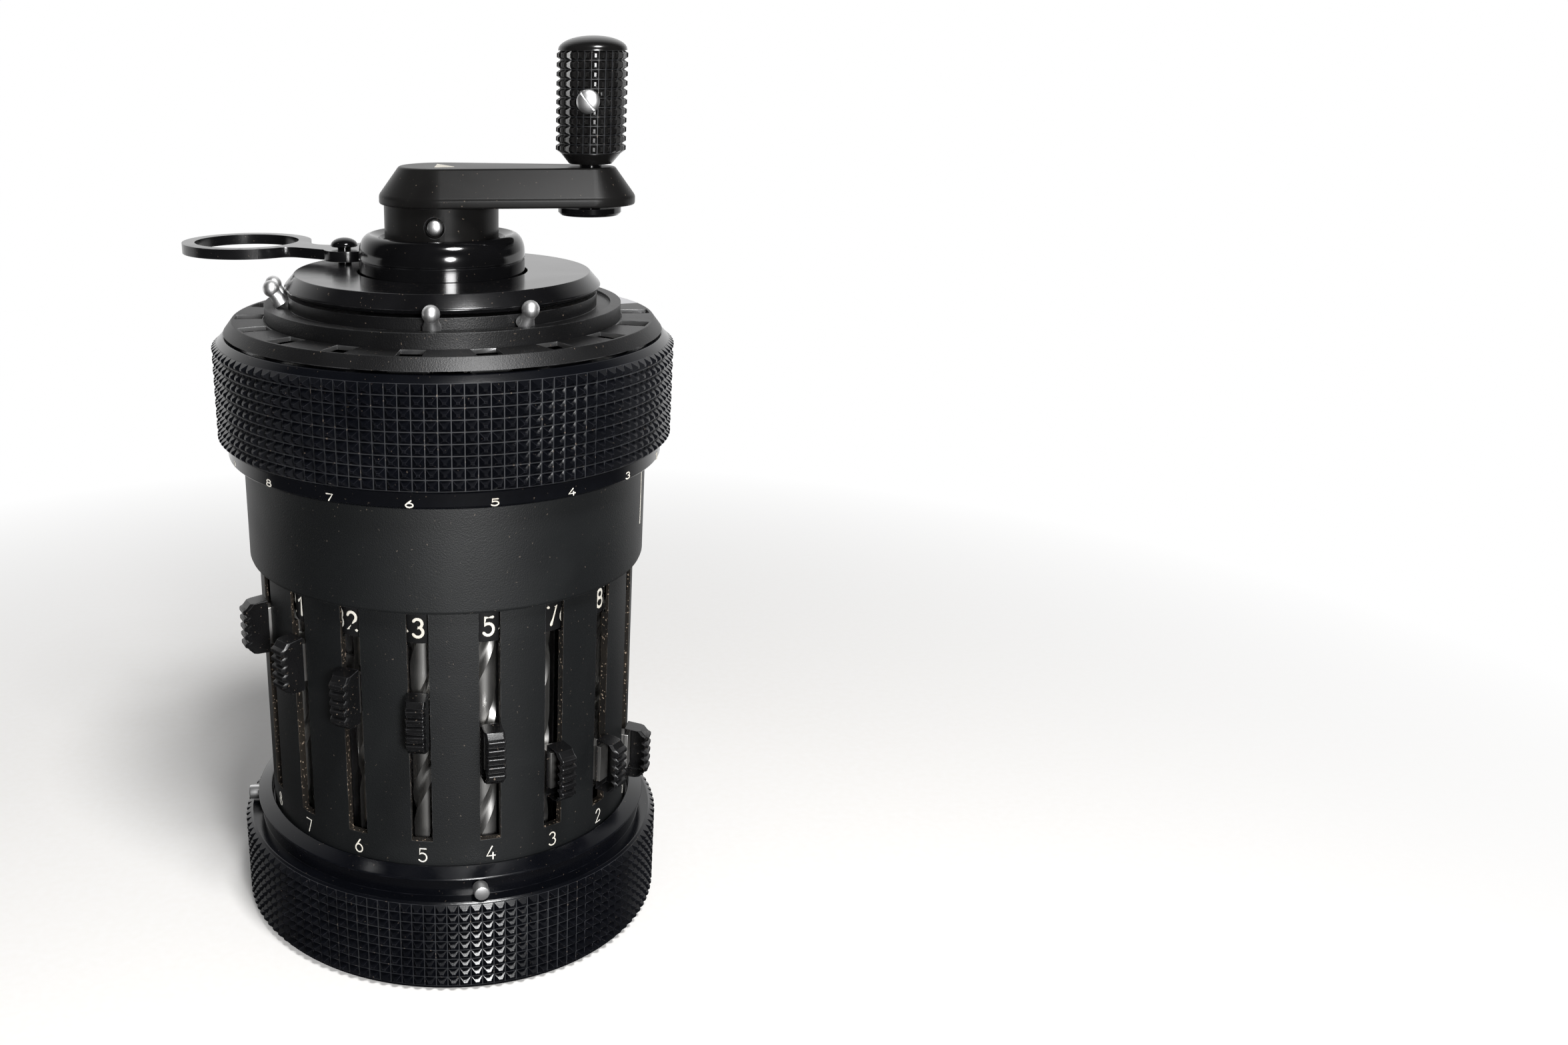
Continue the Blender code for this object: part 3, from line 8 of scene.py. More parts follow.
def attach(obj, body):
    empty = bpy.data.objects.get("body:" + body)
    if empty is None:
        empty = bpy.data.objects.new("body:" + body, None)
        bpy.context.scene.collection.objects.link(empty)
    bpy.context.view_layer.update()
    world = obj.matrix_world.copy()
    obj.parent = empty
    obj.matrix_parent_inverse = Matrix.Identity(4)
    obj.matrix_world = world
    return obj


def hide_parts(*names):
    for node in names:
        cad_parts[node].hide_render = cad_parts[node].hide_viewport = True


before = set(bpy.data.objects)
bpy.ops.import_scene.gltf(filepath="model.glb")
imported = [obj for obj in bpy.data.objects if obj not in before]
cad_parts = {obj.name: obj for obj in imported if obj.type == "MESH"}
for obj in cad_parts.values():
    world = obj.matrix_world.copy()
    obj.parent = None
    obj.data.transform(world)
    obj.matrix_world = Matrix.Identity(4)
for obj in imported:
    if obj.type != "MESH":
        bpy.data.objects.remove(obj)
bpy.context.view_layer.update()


# Camera: it stands where the front view was taken, a hand's width above the calculator and looking
# down at it. The calculator fills the left half of the picture, which a small lens shift gives.
picture_wide, picture_high = 2352, 1568
lens_pixels = 2152.77
middle_across, middle_down = 740.525, 898.015
camera_place = Vector((-0.004067, -0.165908, 0.103562))
heading, tilt, roll = 0.058794, -0.371165, -0.004275


def new_object(name, data):
    thing = bpy.data.objects.new(name, data)
    bpy.context.scene.collection.objects.link(thing)
    return thing


ahead = Vector((sin(heading) * cos(tilt), cos(heading) * cos(tilt), sin(tilt)))
level = Vector((cos(heading), -sin(heading), 0))
above = level.cross(ahead)
rightward = level * cos(roll) + above * sin(roll)
upward = above * cos(roll) - level * sin(roll)
aimed = Matrix((rightward, upward, -ahead)).transposed().to_4x4()

lens = bpy.data.cameras.new("camera")
lens.lens = lens.sensor_width * lens_pixels / picture_wide
lens.shift_x = 0.5 - middle_across / picture_wide
lens.shift_y = (middle_down - picture_high / 2) / picture_wide
lens.clip_start = 0.01
camera = new_object("camera", lens)
camera.matrix_world = Matrix.Translation(camera_place) @ aimed
bpy.context.scene.camera = camera


# Base ring: the grip at the foot, turned from aluminium bar, knurled all round, with a glossy shoulder
# and an undercut track for two sliding markers. It is anodised black and worn at its edges; the pale edge
# colour is also a painted highlight on the knurl's edges.
facets, same_spot = 108, 0.0000001
grip_radius, grip_root, foot_chamfer = 0.0265, 0.0259, 0.0003
base_grip_low, base_grip_high, base_grip_rows = 0.0005, 0.0115, 9
knurl_columns, knurl_flank, knurl_groove = 120, 0.00043, 0.00005
shoulder_edge, shoulder_radius, shoulder_lean = 0.01155, 0.0258, 0.00015
track_low, track_high, track_floor = 0.01175, 0.01395, 0.02425
rail_radius, rail_top = 0.02475, 0.01415
housing_seat, seat_lip, base_ring_top = 0.02295, 0.0002, 0.0149
flange_low, flange_top, flange_bore, ring_bore = 0.0110, 0.0130, 0.0130, 0.02245
base_ring_round = 0.00012


def outward(shape):
    """Makes every face look out of the shape."""
    bmesh.ops.recalc_face_normals(shape, faces=shape.faces)
    return shape


def turned(outline, sides=facets):
    """Spins (radius, height) points round the calculator's axis."""
    shape = bmesh.new()
    points = [shape.verts.new((radius, 0, height)) for radius, height in outline]
    pairs = list(zip(points, points[1:]))
    if outline[0][0] > 0:
        pairs.append((points[-1], points[0]))
    edges = [shape.edges.new(pair) for pair in pairs]
    bmesh.ops.spin(
        shape, geom=points + edges, axis=(0, 0, 1), cent=(0, 0, 0), angle=2 * pi, steps=sides,
        use_merge=True,
    )
    bmesh.ops.remove_doubles(shape, verts=shape.verts, dist=same_spot)
    return outward(shape)


def soften(shape, width, segments=2, from_angle=30, where=None):
    """Rounds every edge that is sharper than an angle, or only those at places that pass a test."""
    sharp = []
    for edge in shape.edges:
        if edge.is_manifold and edge.calc_face_angle() > radians(from_angle):
            if where is None or where((edge.verts[0].co + edge.verts[1].co) / 2):
                sharp.append(edge)
    bmesh.ops.bevel(
        shape, geom=sharp, offset=width, affect="EDGES", segments=segments, profile=0.5, material=-1,
        clamp_overlap=True,
    )
    return outward(shape)


def grip_rows(low, high, rows, radius=grip_root):
    return [(radius, low + (high - low) * row / rows) for row in range(rows + 1)]


def knurl(shape, root, low, high, flank, rise, groove=knurl_groove):
    """Raises a flat-topped pyramid on every face of a turned band, with a narrow groove round it."""
    band = []
    for face in shape.faces:
        on_root = abs(max(vert.co.xy.length for vert in face.verts) - root) < rise / 4
        if low < face.calc_center_median().z < high and on_root and abs(face.normal.z) < 0.1:
            band.append(face)
    inset = bmesh.ops.inset_individual
    for face in inset(shape, faces=band, thickness=groove, depth=0, use_even_offset=True)["faces"]:
        face.material_index = 1
    inset(shape, faces=band, thickness=flank, depth=rise, use_even_offset=True)


def mesh_of(name, shape):
    mesh = bpy.data.meshes.new(name)
    shape.to_mesh(mesh)
    shape.free()
    return mesh


def add_piece(name, shape, finishes, body, *nodes, slot=None, sharp_from=30):
    """Turns a finished shape into a piece that rides on a body and may stand for CAD nodes."""
    mesh = mesh_of(name, shape)
    for finish in finishes if isinstance(finishes, list) else [finishes]:
        mesh.materials.append(finish)
    mesh.shade_smooth()
    mesh.set_sharp_from_angle(angle=radians(sharp_from))
    piece = new_object(name, mesh)
    piece.modifiers.new("flat faces shade flat", "WEIGHTED_NORMAL").keep_sharp = True
    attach(piece, body)
    if nodes:
        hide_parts(*nodes)
    return piece


def connect(tree, socket, value):
    if isinstance(value, bpy.types.NodeSocket):
        tree.links.new(value, socket)
    else:
        socket.default_value = value


def feed(tree, node, **sockets):
    """A keyword names a socket of the node, and gives its value or the socket that feeds it."""
    for label, value in sockets.items():
        connect(tree, node.inputs[label.replace("_", " ")], value)


def shader(tree, kind, **sockets):
    node = tree.nodes.new("ShaderNode" + kind)
    feed(tree, node, **sockets)
    return node


def calc(tree, operation, *values):
    node = shader(tree, "Math")
    node.operation = operation
    for socket, value in zip(node.inputs, values):
        connect(tree, socket, value)
    return node.outputs[0]


def tint(tree, share, first, second):
    """A colour between two others."""
    node = shader(tree, "Mix")
    node.data_type = "RGBA"
    for label, value in (("Factor", share), (6, first), (7, second)):
        connect(tree, node.inputs[label], value)
    return node.outputs[2]


def spread(tree, value, low, high, start=0.0, end=1.0):
    """Stretches the part of a value between two limits, and holds it there."""
    node = shader(tree, "MapRange", Value=value, From_Min=low, From_Max=high, To_Min=start, To_Max=end)
    return node.outputs[0]


def new_group(name, inputs, outputs):
    """A group of shader nodes, with the sockets that it is given and those that it gives."""
    group = bpy.data.node_groups.new(name, "ShaderNodeTree")
    for label, value in inputs.items():
        socket = group.interface.new_socket(label, in_out="INPUT", socket_type="NodeSocketFloat")
        socket.default_value = value
    for label in outputs:
        group.interface.new_socket(label, in_out="OUTPUT", socket_type="NodeSocketFloat")
    return group, group.nodes.new("NodeGroupInput").outputs, group.nodes.new("NodeGroupOutput").inputs


# The shared surface effects: grain, smudges, rubbed edges (partly a painted highlight on some finishes), dust
# and the lathe's fine lines
edge_limits, patch_limits, smudge_limits = (0.995, 0.9), (0.38, 0.66), (0.3, 0.7)
speck_limit, speck_per_dust, speck_edge = 0.78, -0.16, 0.05
dust_colour, dust_roughness = (0.32, 0.25, 0.19, 1), 0.9
surface_marks, given, made = new_group(
    "surface marks", {"Grain Scale": 9000, "Edge Width": 0.00012, "Dust Amount": 0.3},
    ("Grain", "Smudge", "Edge Wear And Glint", "Dust"),
)
tree = surface_marks
place = shader(tree, "TexCoord").outputs["Object"]
grain = shader(tree, "TexNoise", Vector=place, Scale=given["Grain Scale"], Detail=2)
smudge = shader(tree, "TexNoise", Vector=place, Scale=90, Detail=5, Distortion=0.8)
patches = shader(tree, "TexNoise", Vector=place, Scale=700, Detail=3)
specks = shader(tree, "TexNoise", Vector=place, Scale=3200, Detail=1)
rounded_normal = shader(tree, "Bevel", Radius=given["Edge Width"])
rounded_normal.samples = 6
alike = shader(tree, "VectorMath")
alike.operation = "DOT_PRODUCT"
connect(tree, alike.inputs[0], rounded_normal.outputs[0])
connect(tree, alike.inputs[1], shader(tree, "NewGeometry").outputs["Normal"])
edge = spread(tree, alike.outputs["Value"], *edge_limits)
speck_low = calc(tree, "MULTIPLY_ADD", given["Dust Amount"], speck_per_dust, speck_limit)
speck_high = calc(tree, "ADD", speck_low, speck_edge)
connect(tree, made["Grain"], grain.outputs[0])
connect(tree, made["Smudge"], spread(tree, smudge.outputs[0], *smudge_limits))
connect(tree, made["Edge Wear And Glint"], calc(tree, "MULTIPLY", edge, spread(tree, patches.outputs[0], *patch_limits)))
connect(tree, made["Dust"], spread(tree, specks.outputs[0], speck_low, speck_high))

lathe_lines, given, made = new_group("lathe lines", {}, ("Height",))
tree = lathe_lines
place = shader(tree, "TexCoord").outputs["Object"]
x, y, z = shader(tree, "SeparateXYZ", Vector=place).outputs
radius = calc(tree, "SQRT", calc(tree, "ADD", calc(tree, "MULTIPLY", x, x), calc(tree, "MULTIPLY", y, y)))
slow_turn = calc(tree, "MULTIPLY", calc(tree, "ARCTAN2", y, x), 0.0001)
line_place = shader(tree, "CombineXYZ", X=radius, Y=slow_turn, Z=z).outputs[0]
connect(tree, made[0], shader(tree, "TexNoise", Vector=line_place, Scale=12000, Detail=3).outputs[0])


def surface(
    name, colour, roughness, *, pale=None, metallic=0.0, shine=0.5, uneven=0.12, grain_scale=9000,
    grain_depth=0.000004, edge_wear_and_glint=0.35, edge_wear_and_glint_colour=(0.30, 0.30, 0.31), dust=0.3, line_depth=0.0,
    edge_width=0.00012,
):
    """A finish with its own grain, smudges, rubbed edges that can carry a painted highlight, dust and, on
    turned pieces, fine lines.
    """
    material = bpy.data.materials.new(name)
    material.use_nodes = True
    tree = material.node_tree
    marks = shader(tree, "Group")
    marks.node_tree = surface_marks
    feed(tree, marks, Grain_Scale=grain_scale, Edge_Width=edge_width, Dust_Amount=dust)
    smudge = marks.outputs["Smudge"]
    pale = pale or tuple(min(1, part * 1.6 + 0.002) for part in colour)
    base = tint(tree, smudge, (*colour, 1), (*pale, 1))
    edge_wear_and_glint_share = calc(tree, "MULTIPLY", marks.outputs["Edge Wear And Glint"], edge_wear_and_glint)
    base = tint(tree, edge_wear_and_glint_share, base, (*edge_wear_and_glint_colour, 1))
    dusty = calc(tree, "MULTIPLY", marks.outputs["Dust"], dust)
    rough = calc(tree, "MULTIPLY_ADD", smudge, uneven, roughness)
    rough = calc(tree, "MAXIMUM", rough, calc(tree, "MULTIPLY", dusty, dust_roughness))
    bump = shader(tree, "Bump", Height=marks.outputs["Grain"], Distance=grain_depth).outputs[0]
    if line_depth:
        lines = shader(tree, "Group")
        lines.node_tree = lathe_lines
        bump = shader(tree, "Bump", Height=lines.outputs[0], Distance=line_depth, Normal=bump).outputs[0]
    feed(
        tree, tree.nodes["Principled BSDF"], Base_Color=tint(tree, dusty, base, dust_colour),
        Roughness=rough, Metallic=metallic, Specular_IOR_Level=shine, Normal=bump,
    )
    return material


# The grip's pale edge colour is partly wear and partly a painted highlight: the bright glints along the
# knurl's edges.
ring_finish = surface(
    "black anodised grip", (0.0018, 0.0021, 0.0032), 0.15, pale=(0.0030, 0.0034, 0.0050), uneven=0.05,
    edge_wear_and_glint=0.25, edge_wear_and_glint_colour=(0.16, 0.16, 0.19), line_depth=0.0000022, dust=0.2, edge_width=0.00005,
)
groove_finish = surface(
    "worn knurl grooves", (0.010, 0.011, 0.014), 0.42, pale=(0.040, 0.042, 0.046), edge_wear_and_glint=0.0, dust=0.5
)
outline = [(ring_bore, 0), (grip_root - foot_chamfer, 0), (grip_root, foot_chamfer)]
outline += grip_rows(base_grip_low, base_grip_high, base_grip_rows)
outline += [
    (shoulder_radius, shoulder_edge), (shoulder_radius - shoulder_lean, track_low),
    (track_floor, track_low), (track_floor, track_high), (rail_radius, track_high), (rail_radius, rail_top),
    (housing_seat + seat_lip, base_ring_top), (housing_seat, base_ring_top), (housing_seat, flange_top),
    (flange_bore, flange_top), (flange_bore, flange_low), (ring_bore, flange_low),
]
base_ring = turned(outline, knurl_columns)
soften(base_ring, base_ring_round, where=lambda middle: middle.z > shoulder_edge)
knurl(base_ring, grip_root, base_grip_low, base_grip_high, knurl_flank, grip_radius - grip_root)
add_piece("base_grip_ring", base_ring, [ring_finish, groove_finish], "root", "base_ring", slot="ring_black")


# Base plate: a pressed disc that closes the underside, with a boss for the main shaft's foot. It has
# the housing's black enamel.
body_finish = surface(
    "black satin enamel", (0.0024, 0.0033, 0.0040), 0.48, pale=(0.0036, 0.0047, 0.0054), shine=0.75,
    uneven=0.05, grain_scale=6500, grain_depth=0.000022, edge_wear_and_glint=0.25, dust=0.22,
)


def dress(finish, *nodes):
    """Gives the CAD's own pieces their finish."""
    for node in nodes:
        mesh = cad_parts[node].data
        mesh.materials.clear()
        mesh.materials.append(finish)


dress(body_finish, "base_plate")


# Base markers: two bright flat-ended studs, turned from rod with a small chamfer at the outer end.
# They slide in the base ring's track.
base_marker_azimuths = radians(6), radians(-90)
base_stud_radius, base_stud_inner, base_stud_outer, base_stud_height = 0.0009, 0.02455, 0.02605, 0.01285
stud_chamfer, stud_facet, stud_crown = 0.0002, 0.00006, 0.00002
bright_finish = surface(
    "bright satin metal", (0.82, 0.82, 0.82), 0.40, pale=(0.92, 0.92, 0.92), metallic=1.0, uneven=0.08,
    grain_depth=0.0000015, edge_wear_and_glint=0.0, dust=0.12,
)


def tipped(shape, angle=-pi / 2):
    """Tips a shape about the X axis. Without an angle its top comes to lie towards the axis."""
    bmesh.ops.rotate(shape, matrix=Matrix.Rotation(angle, 3, "X"), verts=shape.verts)
    return shape


def moved(shape, azimuth=0.0, height=0.0, out=0.0):
    """Moves what faces the front outwards and up, then round to an azimuth."""
    bmesh.ops.translate(shape, vec=(0, -out, height), verts=shape.verts)
    bmesh.ops.rotate(shape, matrix=Matrix.Rotation(azimuth, 3, "Z"), verts=shape.verts)
    return shape


for number, azimuth in enumerate(base_marker_azimuths, 1):
    name = f"base_marker_{number}"
    length = base_stud_outer - base_stud_inner
    outline = [(0, 0), (base_stud_radius, 0), (base_stud_radius, length - stud_chamfer)]
    outline += [
        (base_stud_radius - stud_facet, length - stud_facet), (base_stud_radius - stud_chamfer, length),
        (0, length + stud_crown),
    ]
    stud = moved(tipped(turned(outline, 48), pi / 2), azimuth, base_stud_height, base_stud_inner)
    add_piece(f"base_marker_stud_{number}", stud, bright_finish, name, name, slot="silver")


# Housing: a drawn aluminium shell, enamelled black, with a milled slot for each of eight sliders and
# one at the back. Inside, it is turned thinner round the digit rollers, and the plain band at its top
# hides their bearings.
body_radius, body_bore, body_low, body_round = 0.02265, 0.02175, 0.0133, 0.00007
roller_bore, recess_low, recess_high = 0.02225, 0.0420, 0.0465
band_radius, band_low, band_top, band_bevel, band_chamfer = 0.0237, 0.0463, 0.0583, 0.00015, 0.0004
slot_width, slot_low, slot_high = 0.0024, 0.0179, 0.0462
back_slot_low, back_slot_high = 0.0317, 0.0393
seat_radius, ledge_radius, ledge_low, ledge_top = 0.02235, 0.0211, 0.0538, 0.0550
cut_beyond, hair = 0.0008, 0.00001
column_step = radians(20)
column_azimuths = [(4.5 - column) * column_step for column in range(1, 9)]


def open_slots(shape, azimuths, width, low, high):
    """Cuts straight-sided openings through a wall. low and high are (radius, height) corners of the cut."""
    facet = 2 * pi / facets
    for azimuth in azimuths:
        turn = Matrix.Rotation(-azimuth, 3, "Z")
        for vert in shape.verts:
            spot = turn @ vert.co
            reach = spot.xy.length
            if low[0] < reach < high[0] and low[1] < spot.z < high[1]:
                angle = atan2(spot.x, -spot.y)
                side = asin(width / 2 / reach)
                if abs(abs(angle) - round(side / facet) * facet) < facet / 3:
                    across = width / 2 if angle > 0 else -width / 2
                    vert.co = turn.inverted() @ Vector((across, -reach * cos(side), spot.z))
        gone = []
        for face in shape.faces:
            spot = turn @ face.calc_center_median()
            if abs(spot.x) < width / 2 and low[0] < -spot.y < high[0] and low[1] < spot.z < high[1]:
                gone.append(face)
        bmesh.ops.delete(shape, geom=gone, context="FACES")
        rim = [edge for edge in shape.edges if edge.is_boundary]
        for wall in bmesh.ops.bridge_loops(shape, edges=rim)["faces"]:
            wall.material_index = 1
    outward(shape)


levels = (slot_low, back_slot_low, back_slot_high, recess_low, slot_high)
outline = [(body_bore, body_low), (body_radius, body_low)] + [(body_radius, level) for level in levels]
outline += [
    (body_radius, band_low), (band_radius - band_bevel, band_low), (band_radius, band_low + band_chamfer),
    (band_radius, band_top), (seat_radius, band_top), (seat_radius, ledge_top), (ledge_radius, ledge_top),
    (ledge_radius, ledge_low), (body_bore, ledge_low), (body_bore, recess_high), (roller_bore, recess_high),
    (roller_bore, slot_high), (roller_bore, recess_low),
]
outline += [(body_bore, level) for level in reversed(levels[:-1])]
housing = turned(outline)
for azimuths, low, high in ((column_azimuths, slot_low, slot_high), ([pi], back_slot_low, back_slot_high)):
    inner_corner, outer_corner = (body_bore - cut_beyond, low - hair), (body_radius + cut_beyond, high + hair)
    open_slots(housing, azimuths, slot_width, inner_corner, outer_corner)
soften(housing, body_round)
slot_finish = surface(
    "slot edges", (0.006, 0.006, 0.006), 0.6, pale=(0.02, 0.016, 0.012), shine=0.2, grain_scale=5000,
    grain_depth=0.00002, edge_wear_and_glint=0.5, edge_wear_and_glint_colour=(0.16, 0.12, 0.08), dust=0.85,
)
add_piece("slotted_housing", housing, [body_finish, slot_finish], "root", "housing", slot="body_black")


# Numerals: single-line figures cut by an engraver's machine and filled with off-white paint. The same
# figures stand in bolder strokes on the rollers and dials.
column_figure_height, column_figure_middle, engraved_stroke, paint_rise = 0.0017, 0.01605, 0.00017, 0.00003
figure_middle_x, figure_middle_y = 0.3, 0.5
stroke_end = ((0.35, 0.6), (0.5, 0.05))


def sweep(centre, wide, start, end, steps, high=None):
    """Points on part of a circle or an oval, anticlockwise from one angle to another."""
    angles = [start + (end - start) * step / steps for step in range(steps + 1)]
    return [(centre[0] + wide * cos(angle), centre[1] + (high or wide) * sin(angle)) for angle in angles]


def bow(x, y, wide, high, start, end):
    steps = max(4, round(abs(end - start) / 22))
    return sweep((x, y), wide, radians(start), radians(end), steps, high)


figure_strokes = {
    "0": [bow(0.3, 0.68, 0.28, 0.32, 0, 180) + bow(0.3, 0.32, 0.28, 0.32, 180, 360)],
    "1": [[(0.14, 0.76), (0.38, 1), (0.38, 0)]],
    "2": [bow(0.3, 0.72, 0.26, 0.28, 165, -38) + [(0.04, 0), (0.58, 0)]],
    "3": [bow(0.29, 0.75, 0.24, 0.25, 150, -80) + bow(0.29, 0.27, 0.28, 0.27, 80, -150)],
    "4": [[(0.4, 1), (0.02, 0.28), (0.6, 0.28)], [(0.45, 0.5), (0.45, 0)]],
    "5": [[(0.53, 1), (0.12, 1), (0.09, 0.56)] + bow(0.28, 0.33, 0.29, 0.33, 125, -145)],
    "6": [[(0.42, 1), (0.1, 0.5)] + bow(0.3, 0.31, 0.27, 0.31, 160, 490)],
    "7": [[(0.03, 1), (0.57, 1), (0.22, 0)]],
    "8": [bow(0.3, 0.76, 0.22, 0.24, -90, 270), bow(0.3, 0.27, 0.28, 0.27, 90, 450)],
    "9": [[(0.18, 0), (0.5, 0.5)] + bow(0.3, 0.69, 0.27, 0.31, -20, 310)],
}
closed_figures = ("0", "8")


def figure(digit, height, stroke, wide=1.0):
    """One figure that stands upright on the XY plane, with rounded stroke ends and a slight crown."""
    closed = digit in closed_figures
    drawing = bpy.data.curves.new("figure", "CURVE")
    drawing.dimensions = "3D"
    drawing.bevel_depth = stroke / 2
    drawing.bevel_resolution = 1
    drawing.use_fill_caps = True
    for points in figure_strokes[digit]:
        places = []
        for x, y in points:
            spot = Vector(((x - figure_middle_x) * height * wide, (y - figure_middle_y) * height))
            if not places or (spot - places[-1][0]).length > stroke / 20:
                places.append((spot, 1.0))
        if not closed:
            start = (places[0][0] - places[1][0]).normalized() * stroke
            end = (places[-1][0] - places[-2][0]).normalized() * stroke
            head = [(places[0][0] + start * reach, share) for reach, share in reversed(stroke_end)]
            tail = [(places[-1][0] + end * reach, share) for reach, share in stroke_end]
            places = head + places + tail
        elif (places[0][0] - places[-1][0]).length < stroke / 10:
            places.pop()
        line = drawing.splines.new("POLY")
        line.points.add(len(places) - 1)
        line.use_cyclic_u = closed
        for point, (spot, share) in zip(line.points, places):
            point.co = (spot.x, spot.y, 0, 1)
            point.radius = share
    carrier = bpy.data.objects.new("figure", drawing)
    mesh = bpy.data.meshes.new_from_object(carrier)
    shape = bmesh.new()
    shape.from_mesh(mesh)
    bpy.data.objects.remove(carrier)
    bpy.data.curves.remove(drawing)
    bpy.data.meshes.remove(mesh)
    bmesh.ops.remove_doubles(shape, verts=shape.verts, dist=same_spot)
    bmesh.ops.scale(shape, vec=(1, 1, paint_rise * 2 / stroke), verts=shape.verts)
    return outward(shape)


def wrap(shape, radius):
    """Bends a flat upright shape round a drum, so that it faces the front."""
    for vert in shape.verts:
        angle = vert.co.x / radius
        out = radius + vert.co.z
        vert.co = (out * sin(angle), -out * cos(angle), vert.co.y)
    return shape


def gathered(shapes):
    """Puts several closed shapes in one mesh."""
    whole = bmesh.new()
    for shape in shapes:
        mesh = mesh_of("carrier", shape)
        whole.from_mesh(mesh)
        bpy.data.meshes.remove(mesh)
    return whole


paint_finish = surface(
    "off-white paint", (0.62, 0.58, 0.50), 0.5, pale=(0.82, 0.80, 0.74), shine=0.4, grain_scale=6000,
    grain_depth=0.000008, edge_wear_and_glint=0.0, dust=0.1,
)
column_figures = []
for column, azimuth in enumerate(column_azimuths, 1):
    shape = wrap(figure(str(column), column_figure_height, engraved_stroke), body_radius)
    column_figures.append(moved(shape, azimuth, column_figure_middle))
add_piece("column_numerals", gathered(column_figures), paint_finish, "root")


# Index line: an engraved line on the band, filled with the same off-white paint. The figures on the
# carriage's lip pass it.
index_azimuth, index_width, index_low, index_high = radians(70.5), 0.00022, 0.0509, 0.0578


def block(width, inner, outer, low, high):
    """A straight block at the front, between two distances from the axis and two heights."""
    shape = bmesh.new()
    bmesh.ops.create_cube(shape, size=1)
    bmesh.ops.scale(shape, vec=(width, outer - inner, high - low), verts=shape.verts)
    return moved(shape, 0, (low + high) / 2, (inner + outer) / 2)


def painted_bar(radius, width, low, high, azimuth):
    """A thin painted bar that stands upright on a turned surface."""
    half = (high - low) / 2
    bar = wrap(block(width, -half, half, -paint_rise, paint_rise), radius)
    return moved(bar, azimuth, (low + high) / 2)


index_line = painted_bar(band_radius, index_width, index_low, index_high, index_azimuth)
add_piece("index_line", index_line, paint_finish, "root")


# Upper plate: the bearing plate of all the shafts. It is machined from aluminium, and carries the tube
# that the carriage slides on and the eight rods that the pinions slide on.
alloy_finish = surface(
    "machined aluminium", (0.42, 0.42, 0.43), 0.32, pale=(0.55, 0.55, 0.56), metallic=1.0, uneven=0.2,
    grain_depth=0.000003, edge_wear_and_glint=0.0, line_depth=0.0000015,
)
dress(alloy_finish, "upper_plate")


# Digit shafts: bright steel shafts with a steep spiral groove and a shallow flute opposite, like a
# twist drill. A black roller with ten white figures is pressed on the top of each, and shows through
# the end of the slot.
shaft_circle, shaft_radius, groove_half, groove_floor = 0.01917591, 0.0015, 0.00075, 0.0008
shaft_low, shaft_high, shaft_steps = 0.0133, 0.0426, 84
flute_half, flute_depth = 0.55, 0.0004
pivot_radius, pivot_low, pivot_high, pivot_overlap = 0.0009, 0.0116, 0.0567, 0.0003
roller_radius, roller_low, roller_high, roller_round = 0.0030, 0.0423, 0.0462, 0.00015
roller_figure_height, roller_figure_stroke, roller_figure_middle = 0.0021, 0.00033, 0.04415
digit_pitch, slider_zero, nose_rise = 0.0020, 0.0395, 0.0012
digit_turn = radians(36)
set_digits = (9, 8, 7, 5, 3, 2, 1, 0)
steel_finish = surface(
    "polished steel", (0.66, 0.65, 0.63), 0.36, pale=(0.82, 0.81, 0.79), metallic=1.0, uneven=0.10,
    grain_depth=0.000002, edge_wear_and_glint=0.0, dust=0.25,
)
roller_finish = surface(
    "black roller", (0.006, 0.006, 0.0065), 0.35, shine=0.3, edge_wear_and_glint=0.15, dust=0.2, grain_depth=0.000003
)


def upright_rod(radius, low, high, sides=24):
    rod = bmesh.new()
    bmesh.ops.create_cone(
        rod, cap_ends=True, segments=sides, radius1=radius, radius2=radius, depth=high - low,
        matrix=Matrix.Translation((0, 0, (low + high) / 2)),
    )
    return rod


def ring_of(shape, points, height):
    """A closed loop of edges through plan points."""
    spots = [shape.verts.new((x, y, height)) for x, y in points]
    return [shape.edges.new(pair) for pair in zip(spots, spots[1:] + spots[:1])]


def capped(shape):
    """Closes the ends of a tube."""
    bmesh.ops.holes_fill(shape, edges=[edge for edge in shape.edges if edge.is_boundary])
    return outward(shape)


def spiral_shaft(nose_height):
    """A shaft whose deep groove faces the front at the slider's nose, with a shallow flute opposite."""
    rim_steps, groove_steps = 24, 5
    edge = asin(groove_half / shaft_radius)
    section = []
    for step in range(rim_steps + 1):
        angle = edge + (2 * pi - 2 * edge) * step / rim_steps
        off_flute = min(1, abs(angle - pi) / flute_half)
        reach = shaft_radius - flute_depth * cos(off_flute * pi / 2)
        section.append((reach * sin(angle), -reach * cos(angle)))
    for step in range(1, groove_steps):
        share = step / groove_steps
        across = -groove_half + 2 * groove_half * share
        section.append((across, -shaft_radius + (shaft_radius - groove_floor) * sin(pi * share)))
    shape = bmesh.new()
    ring = ring_of(shape, section, shaft_low)
    moved(shape, (shaft_low - nose_height) / digit_pitch * digit_turn)
    length = shaft_high - shaft_low
    bmesh.ops.spin(
        shape, geom=shape.verts[:] + ring, axis=(0, 0, 1), cent=(0, 0, 0), steps=shaft_steps,
        angle=length / digit_pitch * digit_turn, dvec=(0, 0, length / shaft_steps),
    )
    return capped(shape)


def figure_ring(radius, height, stroke, shown, wide=1.0, order=1):
    """The ten figures round a drum, with the one that is shown at the front."""
    figures = []
    for digit in range(10):
        shape = wrap(figure(str(digit), height, stroke, wide), radius)
        figures.append(moved(shape, order * (shown - digit) * digit_turn))
    return gathered(figures)


